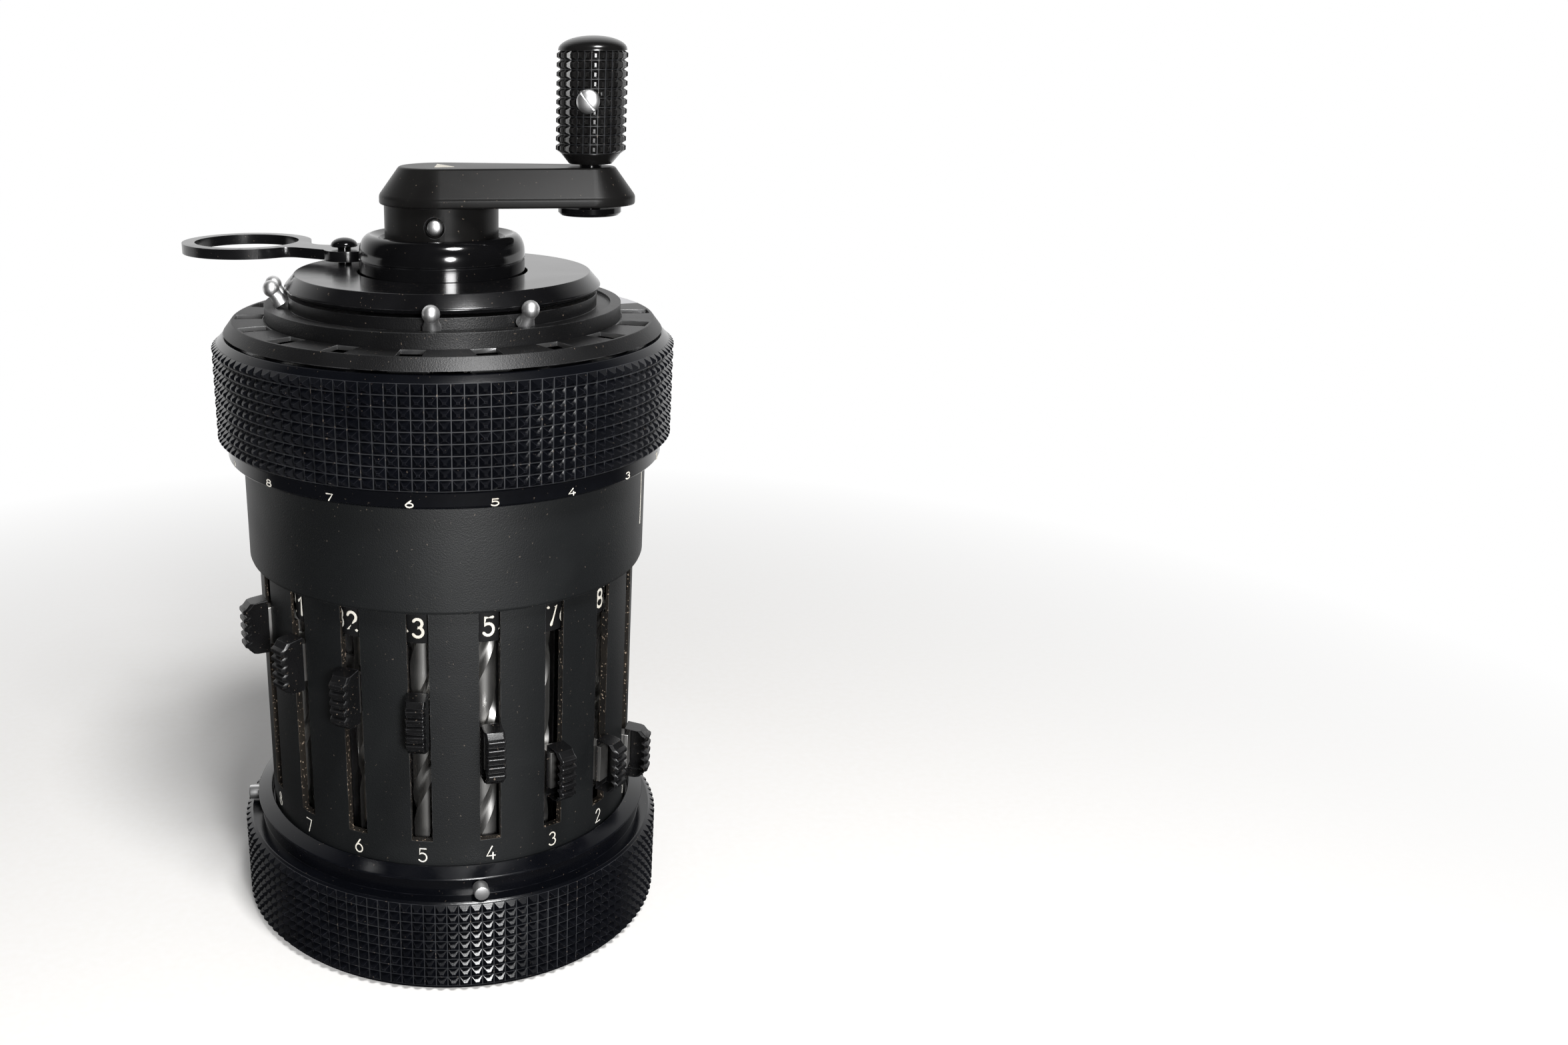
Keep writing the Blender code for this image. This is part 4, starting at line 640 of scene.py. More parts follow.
for column, (azimuth, shown) in enumerate(zip(column_azimuths, set_digits), 1):
    body = f"digit_shaft_{column}"
    spiral = spiral_shaft(slider_zero - shown * digit_pitch + nose_rise)
    lower_pivot = upright_rod(pivot_radius, pivot_low, shaft_low + pivot_overlap)
    upper_pivot = upright_rod(pivot_radius, roller_high - pivot_overlap, pivot_high)
    shaft = moved(gathered([spiral, lower_pivot, upper_pivot]), azimuth, 0, shaft_circle)
    add_piece(f"spiral_shaft_{column}", shaft, steel_finish, body, body, slot="steel")
    roller = soften(upright_rod(roller_radius, roller_low, roller_high, 40), roller_round)
    roller = moved(roller, azimuth, 0, shaft_circle)
    add_piece(f"digit_roller_{column}", roller, roller_finish, body, slot="dial_black")
    figures = figure_ring(roller_radius, roller_figure_height, roller_figure_stroke, shown)
    figures = moved(figures, azimuth, roller_figure_middle, shaft_circle)
    add_piece(f"roller_figures_{column}", figures, paint_finish, body)


# Sliders: moulded black knobs with five ridges for the thumb, on a steel carrier whose ball nose runs
# in the shaft's spiral and whose fork pushes a small pinion along its rod.
slider_foot, slider_face = 0.02295, 0.0259
knob_half, face_half, face_drop, knob_round = 0.00115, 0.00093, 0.0004, 0.00006
knob_low, knob_high, face_low, face_high = -0.0032, 0.0033, -0.0026, 0.0026
foot_slope, head_slope, head_drop, drop_from = 0.0010, 0.0009, 0.0002, 0.0012
ridge_count, ridge_depth = 5, 0.0004
ridge_profile = ((0.12, ridge_depth), (0.32, 0), (0.72, 0), (0.92, ridge_depth))
blade_width, blade_inner, blade_overlap, blade_half, blade_round = 0.0017, 0.02117591, 0.0004, 0.0023, 0.0001
nose_ball, nose_neck, nose_length, nose_sink = 0.00035, 0.00025, 0.0006, 0.00005
fork_inner, fork_outer, fork_low, fork_high = 0.0018, 0.0022, -0.0020, -0.0009
rod_circle, pinion_radius, rod_clearance, pinion_length = 0.01497591, 0.0017, 0.0012, 0.0022
slider_finish = surface(
    "moulded black knob", (0.0028, 0.0028, 0.0031), 0.2, uneven=0.1, edge_wear_and_glint=0.6,
    edge_wear_and_glint_colour=(0.20, 0.20, 0.21), dust=0.4, edge_width=0.00009,
)


def ribbed_knob(half, face_half, low, high, face_low, face_high, ridges):
    """A knob whose ridged face stands out to the front, a little narrower than its foot."""
    side = [(slider_foot, low), (slider_face - foot_slope, low), (slider_face - ridge_depth, face_low)]
    step = (face_high - face_low) / ridges
    for ridge in range(ridges):
        side += [(slider_face - cut, face_low + (ridge + share) * step) for share, cut in ridge_profile]
    side += [(slider_face - head_slope, high - head_drop), (slider_foot, high)]
    shape = bmesh.new()
    cap = [shape.faces.new([shape.verts.new((-half, -out, height)) for out, height in side])]
    for width in (-face_half, face_half, half):
        grown = bmesh.ops.extrude_face_region(shape, geom=cap)["geom"]
        bmesh.ops.delete(shape, geom=cap, context="FACES_ONLY")
        for item in grown:
            if isinstance(item, bmesh.types.BMVert):
                item.co.x = width
        cap = [item for item in grown if isinstance(item, bmesh.types.BMFace)]
    for vert in shape.verts:
        if abs(abs(vert.co.x) - half) < half / 100 and -vert.co.y > slider_face - drop_from:
            vert.co.y += face_drop
    return soften(outward(shape), knob_round, 2, 25)


def sleeve(bore, radius, low, high, sides):
    return turned([(bore, low), (radius, low), (radius, high), (bore, high)], sides)


def ball_stud(ball, foot, foot_height, length, skirt=None):
    """A ball on a short neck up Z, with a wider conical foot where it has one."""
    skirt_edge, skirt_rise, steps = 0.0002, 0.0009, 12
    neck_angle = asin(foot / ball)
    outline = [(0, foot_height)]
    if skirt:
        outline += [(skirt, foot_height), (skirt, foot_height + skirt_edge), (foot, foot_height + skirt_rise)]
    else:
        outline += [(foot, foot_height)]
    for step in range(steps):
        angle = neck_angle + (pi - neck_angle) * step / steps
        outline.append((ball * sin(angle), length - ball * cos(angle)))
    return turned(outline + [(0, length + ball)], 24)


def slider_carrier():
    """The steel parts of a slider: its blade, ball nose, eye round the shaft, and pinion on the rod."""
    blade = block(blade_width, blade_inner, slider_foot + blade_overlap, -blade_half, blade_half)
    nose = tipped(ball_stud(nose_ball, nose_neck, 0, nose_length))
    eye = sleeve(fork_inner, fork_outer, fork_low, fork_high, 32)
    pinion = sleeve(rod_clearance, pinion_radius, fork_low - pinion_length, fork_high, 24)
    return gathered(
        [
            soften(blade, blade_round), moved(nose, 0, nose_rise, blade_inner + nose_sink),
            moved(eye, out=shaft_circle), moved(pinion, out=rod_circle),
        ]
    )


for column, (azimuth, shown) in enumerate(zip(column_azimuths, set_digits), 1):
    height = slider_zero - shown * digit_pitch
    body = f"slider_{column}"
    head = ribbed_knob(knob_half, face_half, knob_low, knob_high, face_low, face_high, ridge_count)
    head = moved(head, azimuth, height)
    add_piece(f"slider_knob_{column}", head, slider_finish, body, body, slot="knob_black", sharp_from=14)
    carrier = moved(slider_carrier(), azimuth, height)
    add_piece(f"slider_carrier_{column}", carrier, steel_finish, body, slot="steel")


# Reversing lever: a small ribbed slider at the back that sets the carriage's counter to add or
# subtract. Its knob is moulded like the front ones, and a wider tail holds it in its slot from inside.
reverse_half, reverse_face_half, reverse_face_high, reverse_ridges = 0.0016, 0.0013, 0.0012, 2
reverse_height, reverse_overlap, reverse_stem_half = 0.0380, 0.0003, 0.0010
stem_inner, reverse_tail_width, reverse_tail_inner, reverse_tail_outer = 0.0208, 0.0040, 0.02025, 0.02145
head = ribbed_knob(
    reverse_half, reverse_face_half, -reverse_half, reverse_half, -reverse_face_high, reverse_face_high,
    reverse_ridges,
)
stem = block(blade_width, stem_inner, slider_foot + reverse_overlap, -reverse_stem_half, reverse_stem_half)
tail = block(reverse_tail_width, reverse_tail_inner, reverse_tail_outer, -reverse_half, reverse_half)
add_piece(
    "reversing_knob", moved(gathered([head, stem, tail]), pi, reverse_height), slider_finish,
    "reversing_lever", "reversing_lever", slot="knob_black", sharp_from=14,
)


# Main shaft, step drum and tens bell: the works inside, of steel and machined aluminium. They show only
# as dull glints behind the slots.
dress(steel_finish, "main_shaft")
dress(alloy_finish, "step_drum", "tens_bell")


# Carriage shell: the knurled upper ring that turns and lifts, of black anodised aluminium. Its plain lip
# carries eleven engraved figures, and its hub slides on the guide tube.
lip_radius, lip_top, carriage_low, lip_chamfer = 0.0254, 0.0604, 0.0586, 0.0003
carriage_grip_low, carriage_grip_high, carriage_grip_rows, carriage_flank = 0.0607, 0.0719, 9, 0.00046
shell_bevel_low, shell_top, shell_top_radius, shell_bore = 0.0720, 0.0726, 0.0251, 0.0242
bevel_step, band_play, shell_round = 0.0001, 0.0003, 0.0001
web_low, web_top, spring_seat = 0.0613, 0.0644, 0.0660
shell_hub, shell_hub_top, hub_foot, collar_bore, slide_bore = 0.0125, 0.0766, 0.0115, 0.0097, 0.0082
rounded_from, knurl_zone = 0.0245, (0.0606, 0.07195)
lip_figure_height, lip_figure_stroke, lip_figure_wide = 0.00072, 0.00015, 2.0
lip_figure_step, lip_figure_middle = 0.0012, 0.05925
lip_index_width, lip_index_low, lip_index_high = 0.0002, 0.0588, 0.0597
outline = [(lip_radius - lip_chamfer, carriage_low), (lip_radius, carriage_low + lip_chamfer)]
outline += [(lip_radius, lip_top)] + grip_rows(carriage_grip_low, carriage_grip_high, carriage_grip_rows)
outline += [
    (grip_root - bevel_step, shell_bevel_low), (shell_top_radius + bevel_step, shell_top),
    (shell_bore, shell_top), (shell_bore, web_top), (shell_hub, web_top), (shell_hub, shell_hub_top),
    (collar_bore, shell_hub_top), (collar_bore, spring_seat), (slide_bore, spring_seat),
    (slide_bore, carriage_low), (hub_foot, carriage_low), (hub_foot, web_low),
    (band_radius + band_play, web_low), (band_radius + band_play, carriage_low),
]


def beside_knurl(middle):
    return middle.xy.length > rounded_from and not knurl_zone[0] < middle.z < knurl_zone[1]


carriage_shell = soften(turned(outline, knurl_columns), shell_round, where=beside_knurl)
knurl(
    carriage_shell, grip_root, carriage_grip_low, carriage_grip_high, carriage_flank, grip_radius - grip_root
)
add_piece(
    "carriage_grip_ring", carriage_shell, [ring_finish, groove_finish], "carriage", "carriage_shell",
    slot="ring_black",
)

lip_figures = []
for place_number in range(1, 12):
    digits = str(place_number)
    for order, digit in enumerate(digits):
        shape = figure(digit, lip_figure_height, lip_figure_stroke, lip_figure_wide)
        sideways = (order - (len(digits) - 1) / 2) * lip_figure_step
        bmesh.ops.translate(shape, vec=(sideways, 0, 0), verts=shape.verts)
        azimuth = (5.5 - place_number) * column_step
        lip_figures.append(moved(wrap(shape, lip_radius), azimuth, lip_figure_middle))
lip_index = painted_bar(lip_radius, lip_index_width, lip_index_low, lip_index_high, index_azimuth)
lip_figures.append(lip_index)
add_piece("lip_numerals", gathered(lip_figures), paint_finish, "carriage")


# Carriage cover: the dial ring, with a window over each of seventeen rollers, a raised bead and the
# track of five markers. It is fine-blasted and black, but bright behind the six counter windows.
cover_face, cover_under, cover_foot, cover_edge, cover_round = 0.0742, 0.0737, 0.0729, 0.0241, 0.00012
bead_radius, bead_top, bead_width, bead_step, marker_floor = 0.02035, 0.07585, 0.0012, 0.0001, 0.0755
neck_radius, neck_top, cover_bore, rim_wall = 0.0176, 0.0769, 0.0128, 0.0007
window_inner, window_outer, window_width, window_beyond = 0.0206, 0.0238, 0.0027, 0.0001
result_azimuths = [(5.5 - dial) * column_step for dial in range(1, 12)]
counter_azimuths = [radians(-140) - dial * column_step for dial in range(6)]
bright_from, bright_to = radians(103.4), radians(-128.4)
cover_finish = surface(
    "fine-blasted black", (0.0022, 0.0022, 0.0025), 0.38, shine=0.42, uneven=0.06, grain_scale=6000,
    grain_depth=0.00002, edge_wear_and_glint=0.2,
)
bright_sector_finish = surface(
    "fine-blasted bright metal", (0.62, 0.62, 0.64), 0.38, pale=(0.74, 0.74, 0.76), metallic=1.0,
    uneven=0.1, grain_scale=5000, grain_depth=0.00001, edge_wear_and_glint=0.0, dust=0.1,
)
# The window walls are a paler metal, and their pale edge colour is also a painted highlight: the glint along
# each window's edge.
window_edge_finish = surface(
    "window edges", (0.05, 0.05, 0.052), 0.25, pale=(0.12, 0.12, 0.12), metallic=0.6, edge_wear_and_glint=0.6,
    edge_wear_and_glint_colour=(0.5, 0.5, 0.5),
)
outline = [
    (shell_top_radius, cover_foot), (cover_edge, cover_face), (window_outer, cover_face),
    (window_inner, cover_face), (bead_radius + bead_step, cover_face),
    (bead_radius + bead_step, cover_face - bead_step), (bead_radius, cover_face - bead_step),
    (bead_radius, bead_top), (bead_radius - bead_width, bead_top), (bead_radius - bead_width, marker_floor),
    (neck_radius, marker_floor), (neck_radius, neck_top), (cover_bore, neck_top), (cover_bore, cover_under),
    (window_inner, cover_under), (window_outer, cover_under), (shell_top_radius - rim_wall, cover_foot),
]
cover = turned(outline)
inner_corner = (window_inner - hair, cover_under - window_beyond)
outer_corner = (window_outer + hair, cover_face + window_beyond)
open_slots(cover, result_azimuths + counter_azimuths, window_width, inner_corner, outer_corner)
soften(cover, cover_round, 3)
for face in cover.faces:
    spot = face.calc_center_median()
    azimuth = atan2(spot.x, -spot.y)
    on_top = face.normal.z > 0.9 and bead_radius < spot.xy.length < cover_edge
    if on_top and (azimuth < bright_to or azimuth > bright_from):
        face.material_index = 2
add_piece(
    "dial_cover", cover, [cover_finish, window_edge_finish, bright_sector_finish], "carriage",
    "carriage_cover", slot="cover_black",
)


# Number dials: black rollers on long steel shafts, each with ten white figures round it. The window
# over a dial shows one figure, which reads from the rim.
dial_radius, dial_height, dial_inner, dial_outer = 0.00335, 0.07005, 0.0205, 0.02385
dial_shaft_radius, dial_shaft_end, dial_overlap = 0.0006, 0.0103, 0.0002
dial_figure_height, dial_figure_stroke, dial_figure_wide = 0.0021, 0.00024, 1.1
result_digits = (0, 1, 8, 2, 7, 1, 0, 0, 0, 0, 0)
counter_digits = (5, 5, 0, 0, 0, 0)
dial_finish = surface(
    "black dial", (0.005, 0.005, 0.0055), 0.4, shine=0.3, edge_wear_and_glint=0.2, dust=0.25, grain_depth=0.000003
)


def add_dial(body, azimuth, shown):
    half = (dial_outer - dial_inner) / 2
    middle = (dial_outer + dial_inner) / 2
    roller = soften(upright_rod(dial_radius, -half, half, 40), roller_round)
    spindle = upright_rod(dial_shaft_radius, half - dial_overlap, middle - dial_shaft_end, 16)
    drum = moved(tipped(gathered([roller, spindle])), azimuth, dial_height, middle)
    add_piece(f"{body}_drum", drum, dial_finish, body, body, slot="dial_black")
    figures = figure_ring(
        dial_radius, dial_figure_height, dial_figure_stroke, shown, dial_figure_wide, order=-1
    )
    add_piece(f"{body}_figures", moved(tipped(figures), azimuth, dial_height, middle), paint_finish, body)


for number, (azimuth, shown) in enumerate(zip(result_azimuths, result_digits), 1):
    add_dial(f"result_dial_{number}", azimuth, shown)
for number, (azimuth, shown) in enumerate(zip(counter_azimuths, counter_digits), 1):
    add_dial(f"counter_dial_{number}", azimuth, shown)


# Dial markers: bright ball-headed pins that slide along the track inside the bead to mark decimals.
# Each is turned from rod and leans a little outwards.
dial_marker_azimuths = (-166.7, -94.6, -85.4, -5.1, 26.4)
pin_ball, pin_neck, pin_skirt, pin_sink = 0.00095, 0.00074, 0.0010, 0.0002
pin_ball_out, pin_ball_height, pin_foot_out, pin_foot_height = 0.0194, 0.0776, 0.0184, 0.0761
for number, azimuth in enumerate(dial_marker_azimuths, 1):
    name = f"dial_marker_{number}"
    reach = Vector((0, pin_foot_out - pin_ball_out, pin_ball_height - pin_foot_height))
    pin = tipped(ball_stud(pin_ball, pin_neck, -pin_sink, reach.length, pin_skirt), atan2(-reach.y, reach.z))
    pin = moved(pin, radians(azimuth), pin_foot_height, pin_foot_out)
    add_piece(f"marker_pin_{number}", pin, bright_finish, name, name, slot="silver")


# Carriage spring and washer: a steel coil and ring inside the hub, which press the carriage down and
# give way when it is lifted to turn it.
dress(steel_finish, "carriage_spring", "carriage_washer")


# Clearing plate: the bevelled top disc that turns with the finger ring and sets the dials to nought.
# It is fine-turned and black. A domed stud latches the folded lever.
plate_low, plate_radius, plate_edge, plate_face, plate_top = 0.0772, 0.0180, 0.0005, 0.01676, 0.07917
plate_step, plate_step_rise, plate_round = 0.0001, 0.0002, 0.00008
pin_circle, stud_azimuth, pivot_azimuth = 0.0137, radians(-166.0), radians(-124.2)
dome_radius, dome_shank, dome_low, dome_top, dome_step = 0.0016, 0.0008, 0.08097, 0.08197, 0.0001
stud_sink, pivot_sink = 0.0005, 0.0010
plate_finish = surface(
    "fine-turned black plate", (0.0026, 0.0026, 0.0030), 0.13, shine=0.45, uneven=0.06, edge_wear_and_glint=0.2,
    line_depth=0.0000016, grain_depth=0.000002,
)
gloss_finish = surface(
    "glossy black", (0.0018, 0.0018, 0.0021), 0.07, uneven=0.1, grain_depth=0.0000008, edge_wear_and_glint=0.12,
    edge_wear_and_glint_colour=(0.12, 0.12, 0.13), dust=0.2,
)
outline = [
    (collar_bore, plate_low), (plate_radius - plate_edge, plate_low), (plate_radius, plate_low + plate_edge),
    (plate_radius - plate_step, plate_low + plate_edge + plate_step_rise), (plate_face, plate_top),
    (collar_bore, plate_top),
]
plate = soften(turned(outline), plate_round, 2, 20)
add_piece("clearing_disc", plate, plate_finish, "clearing_plate", "clearing_plate", slot="plate_black")


def dome(radius, low, high, steps, crown=0.0):
    """Outline points of a quarter round that rises from its rim to its crown."""
    angles = [pi / 2 * step / steps for step in range(steps)]
    rise = [(crown + (radius - crown) * cos(angle), low + (high - low) * sin(angle)) for angle in angles]
    return rise + [(crown, high)]


def domed_stud(sink, azimuth):
    """A round-headed pin, with a slight step under its dome."""
    low = plate_top - sink
    outline = [(0, low), (dome_shank, low), (dome_shank, dome_low), (dome_radius - dome_step, dome_low)]
    outline += dome(dome_radius, dome_low + dome_step, dome_top, 8)
    return moved(turned(outline, 40), azimuth, 0, pin_circle)


stud = domed_stud(stud_sink, stud_azimuth)
add_piece("latch_stud", stud, gloss_finish, "clearing_plate", slot="gloss_black")
pivot = domed_stud(pivot_sink, pivot_azimuth)
add_piece("lever_pivot_stud", pivot, gloss_finish, "clearing_plate", "lever_pivot", slot="gloss_black")


# Clearing lever: a finger ring, its stem and a curved tail, punched from one plate and tumbled until the
# edges are round. A notch in the tail catches the latch stud.
lever_low, lever_high, lever_round = 0.07947, 0.08067, 0.00035
tail_inner, tail_outer, stem_half = 0.0107, 0.0161, 0.0017
finger_circle, finger_radius, finger_width = 0.0285, 0.0079, 0.00155
tail_round, stem_round, notch_play, notch_below, notch_above = 0.0031, 0.0020, 0.0003, 0.001, 0.003
lever_finish = surface(
    "black enamelled lever", (0.0030, 0.0030, 0.0034), 0.16, uneven=0.08, grain_depth=0.000002,
    edge_wear_and_glint=0.25, dust=0.25,
)


def carved(shape, tool):
    """Cuts one closed shape out of another."""
    things = [new_object("carving", mesh_of("carving", part)) for part in (shape, tool)]
    cut = things[0].modifiers.new("cut", "BOOLEAN")
    cut.operation = "DIFFERENCE"
    cut.object = things[1]
    result = bpy.data.meshes.new_from_object(things[0].evaluated_get(bpy.context.evaluated_depsgraph_get()))
    left = bmesh.new()
    left.from_mesh(result)
    meshes = [result] + [thing.data for thing in things]
    for thing in things:
        bpy.data.objects.remove(thing)
    for mesh in meshes:
        bpy.data.meshes.remove(mesh)
    return left


def slab(low, high, *loops):
    """A flat plate between two heights, from its outline and those of its holes."""
    shape = bmesh.new()
    edges = [edge for points in loops for edge in ring_of(shape, points, low)]
    bmesh.ops.triangle_fill(shape, edges=edges, use_beauty=True)
    grown = bmesh.ops.extrude_face_region(shape, geom=shape.faces[:])["geom"]
    fresh = [item for item in grown if isinstance(item, bmesh.types.BMVert)]
    bmesh.ops.translate(shape, vec=(0, 0, high - low), verts=fresh)
    return outward(shape)


def lever_plan():
    """The lever's outline, with its stem towards the front and its tail round the axis to -X."""
    tail, quarter = stud_azimuth - pivot_azimuth, pi / 2
    tail_middle, tail_half = (tail_inner + tail_outer) / 2, (tail_outer - tail_inner) / 2
    ring = (0, -finger_circle)
    # On the tail's side one round touches both the finger ring and the tail
    from_axis, from_ring = tail_outer + tail_round, finger_radius + tail_round
    along = (finger_circle**2 + from_axis**2 - from_ring**2) / finger_circle / 2
    bend = acos(along / from_axis)
    round_middle = (-from_axis * sin(bend), -along)
    at_ring = asin(from_axis * sin(bend) / from_ring)
    # On the other side a smaller round runs from the finger ring into the straight stem
    near_ring = asin((stem_half + stem_round) / (finger_radius + stem_round))
    near_middle = (stem_half + stem_round, -finger_circle + (finger_radius + stem_round) * cos(near_ring))
    corner = asin(stem_half / tail_half)
    far = (tail_middle * sin(tail), -tail_middle * cos(tail))
    plan = sweep(ring, finger_radius, at_ring - pi - quarter, pi - near_ring - quarter, 72)
    plan += sweep(near_middle, stem_round, -near_ring - quarter, -quarter - quarter, 8)[1:]
    plan += sweep((0, -tail_middle), tail_half, corner - quarter, pi - quarter, 16)
    plan += sweep((0, 0), tail_inner, -quarter, tail - quarter, 16)[1:]
    plan += sweep(far, tail_half, tail - pi - quarter, tail - quarter, 16)[1:]
    plan += sweep((0, 0), tail_outer, tail - quarter, -bend - quarter, 14)[1:]
    plan += sweep(round_middle, tail_round, pi - bend - quarter, at_ring - quarter, 16)[1:-1]
    return plan


finger_hole = sweep((0, -finger_circle), finger_radius - finger_width, 0, 2 * pi, 64)[:-1]
tail_turn = stud_azimuth - pivot_azimuth
stud_spot = Vector((sin(tail_turn), -cos(tail_turn))) * pin_circle
pivot_spot = Vector((0, -pin_circle))
to_stud = stud_spot - pivot_spot
notch_half = dome_shank + notch_play
start_turn = atan2(to_stud.y, to_stud.x)
end_turn = start_turn - (tail_outer - tail_inner) / to_stud.length
notch_plan = sweep(stud_spot, notch_half, start_turn, start_turn + pi, 12)
notch_plan += sweep(pivot_spot, to_stud.length - notch_half, start_turn, end_turn, 8)[1:]
notch_plan += sweep(pivot_spot, to_stud.length + notch_half, end_turn, start_turn, 8)[:-1]
notch = slab(lever_low - notch_below, lever_low + notch_above, notch_plan)
lever = carved(slab(lever_low, lever_high, lever_plan(), finger_hole), notch)
lever = moved(soften(lever, lever_round, 4, 50), pivot_azimuth)
add_piece(
    "finger_ring_lever", lever, lever_finish, "clearing_lever", "clearing_lever", slot="lever_black",
    sharp_from=40,
)


# Collar: a polished black two-step ring round the crank's hub, screwed to the guide tube. It keeps the
# carriage on.
collar_radius, collar_low, collar_groove, collar_shoulder = 0.0094, 0.0760, 0.08053, 0.0812
collar_crown, collar_inner, collar_core, groove_deep, groove_wide = 0.0833, 0.0081, 0.00685, 0.0002, 0.00019
funnel_wide, funnel_drop, funnel_depth = 0.0003, 0.0004, 0.0008
outline = [
    (collar_core, collar_low), (collar_radius, collar_low), (collar_radius, collar_groove),
    (collar_radius - groove_deep, collar_groove), (collar_radius - groove_deep, collar_groove + groove_wide),
    (collar_radius, collar_groove + groove_wide),
]
outline += dome(collar_radius, collar_shoulder, collar_crown, 8, collar_inner)
outline += [
    (collar_core + funnel_wide, collar_crown - funnel_drop), (collar_core, collar_crown - funnel_depth)
]
add_piece("crank_collar", turned(outline), gloss_finish, "root", "collar", slot="gloss_black")


# Crank: a moulded arm with bevelled flanks on a turned hub. A domed steel cross pin fixes the hub to the
# main shaft, and a white arrow on the arm shows which way it turns.
crank_azimuth, crank_length = radians(81.5), 0.0166
hub_radius, hub_bore, hub_low, arm_low, arm_lip, arm_top = 0.00643, 0.0028, 0.0800, 0.0866, 0.08755, 0.0906
arm_wide, arm_narrow, arm_taper, arm_round = 0.00695, 0.0050, 0.0023, 0.00022
cross_pin_radius, cross_pin_height, cross_pin_end, cross_pin_dome = 0.00083, 0.08457, 0.0003, 0.0004
recess_radius, recess_half, cross_pin_azimuth = 0.00113, 0.001, crank_azimuth - pi / 2
arrow_corners, arrow_sink = ((-0.00032, 0.00205), (0.00145, -0.00177), (-0.00072, -0.00211)), 0.00002
axle_head_radius, axle_head_low, axle_head_high, axle_head_chamfer = 0.0035, 0.08545, 0.0863, 0.0003
axle_radius, axle_top = 0.0012, 0.0992
crank_finish = surface(
    "semi-gloss black crank", (0.0052, 0.0050, 0.0049), 0.30, shine=0.12, uneven=0.06,
    grain_depth=0.000003, edge_wear_and_glint=0.3, dust=0.25,
)


def arm_ring(shape, taper, height):
    """The arm's outline: two half rounds joined by their common tangents, the arm towards the front."""
    lean = asin((arm_wide - arm_narrow) / crank_length)
    plan = sweep((0, -crank_length), arm_narrow - taper, -pi + lean, -lean, 24)
    plan += sweep((0, 0), arm_wide - taper, -lean, pi + lean, 32)
    return ring_of(shape, plan, height)


arm = bmesh.new()
arm_rings = [arm_ring(arm, *ring) for ring in ((0, arm_low), (0, arm_lip), (arm_taper, arm_top))]
for low_ring, high_ring in zip(arm_rings, arm_rings[1:]):
    bmesh.ops.bridge_loops(arm, edges=low_ring + high_ring)
arm = soften(capped(arm), arm_round, 3, 25)
add_piece("crank_lever", moved(arm, crank_azimuth), crank_finish, "crank", "crank_arm", slot="crank_black")

recess = tipped(upright_rod(recess_radius, -recess_half, recess_half, 32), pi / 2)
recess = moved(recess, 0, cross_pin_height, hub_radius)
hub = carved(sleeve(hub_bore, hub_radius, hub_low, arm_low, 72), recess)
add_piece("crank_hub", moved(hub, cross_pin_azimuth), crank_finish, "crank", slot="crank_black")

pin_end = hub_radius + cross_pin_end
half_pin = dome(cross_pin_radius, pin_end - cross_pin_dome, pin_end, 6)
cross_pin = turned([(radius, -height) for radius, height in reversed(half_pin)] + half_pin, 32)
cross_pin = moved(tipped(cross_pin, pi / 2), cross_pin_azimuth, cross_pin_height)
add_piece("cross_pin", cross_pin, bright_finish, "crank", "crank_pin", slot="steel")

arrow = slab(arm_top - arrow_sink, arm_top + paint_rise, arrow_corners)
add_piece("turning_arrow", arrow, paint_finish, "crank")

outline = [(0, axle_head_low), (axle_head_radius - axle_head_chamfer, axle_head_low)]
outline += [
    (axle_head_radius, axle_head_low + axle_head_chamfer), (axle_head_radius, axle_head_high),
    (axle_radius, axle_head_high), (axle_radius, axle_top), (0, axle_top),
]
axle = moved(turned(outline, 48), crank_azimuth, 0, crank_length)
add_piece("knob_axle_head", axle, gloss_finish, "crank", "knob_axle", slot="gloss_black")


# Crank knob: a turned black grip with a studded knurl, a conical foot and a shallow polished dome. A
# slotted screw at its side holds it on the axle.
grip_bore, knob_radius, knob_root, knob_foot = 0.0030, 0.00386, 0.00346, 0.0909
knurl_low, knurl_high, knob_top, knob_step = 0.0921, 0.1025, 0.1040, 0.0001
knob_sides, knob_rows, knob_flank, knob_groove = 28, 11, 0.00025, 0.00003
axle_bore, axle_bore_top, foot_radius, skirt_radius = 0.0015, 0.0995, 0.00235, 0.0033
core_radius, dome_rim = 0.00315, 0.0037
screw_azimuth, screw_height, screw_radius, screw_sink = radians(-13), 0.09745, 0.00125, 0.0001
screw_edge, screw_crown, screw_turn = 0.0002, 0.0008, radians(40)
cut_width, cut_reach, cut_floor, cut_over = 0.0002, 0.002, 0.0004, 0.0014
outline = [(grip_bore, knurl_low)] + grip_rows(knurl_low, knurl_high, knob_rows, knob_root)
grip = turned(outline + [(grip_bore, knurl_high)], knob_sides)
knurl(grip, knob_root, knurl_low, knurl_high, knob_flank, knob_radius - knob_root, knob_groove)
outline = [
    (0, axle_bore_top), (axle_bore, axle_bore_top), (axle_bore, knob_foot), (foot_radius, knob_foot),
    (skirt_radius, knurl_low - knob_step), (skirt_radius, knurl_low), (core_radius, knurl_low),
    (core_radius, knurl_high), (dome_rim, knurl_high),
]
core = turned(outline + dome(dome_rim, knurl_high + knob_step, knob_top, 10), 48)
knob = moved(gathered([grip, core]), crank_azimuth, 0, crank_length)
knob_finish = surface(
    "turned black knob", (0.0045, 0.0043, 0.0043), 0.18, uneven=0.06, edge_wear_and_glint=0.3, dust=0.2,
    edge_wear_and_glint_colour=(0.16, 0.16, 0.16), edge_width=0.00005, grain_depth=0.000001,
)
add_piece("crank_knob", knob, [knob_finish, groove_finish], "knob", "knob", slot="crank_black")

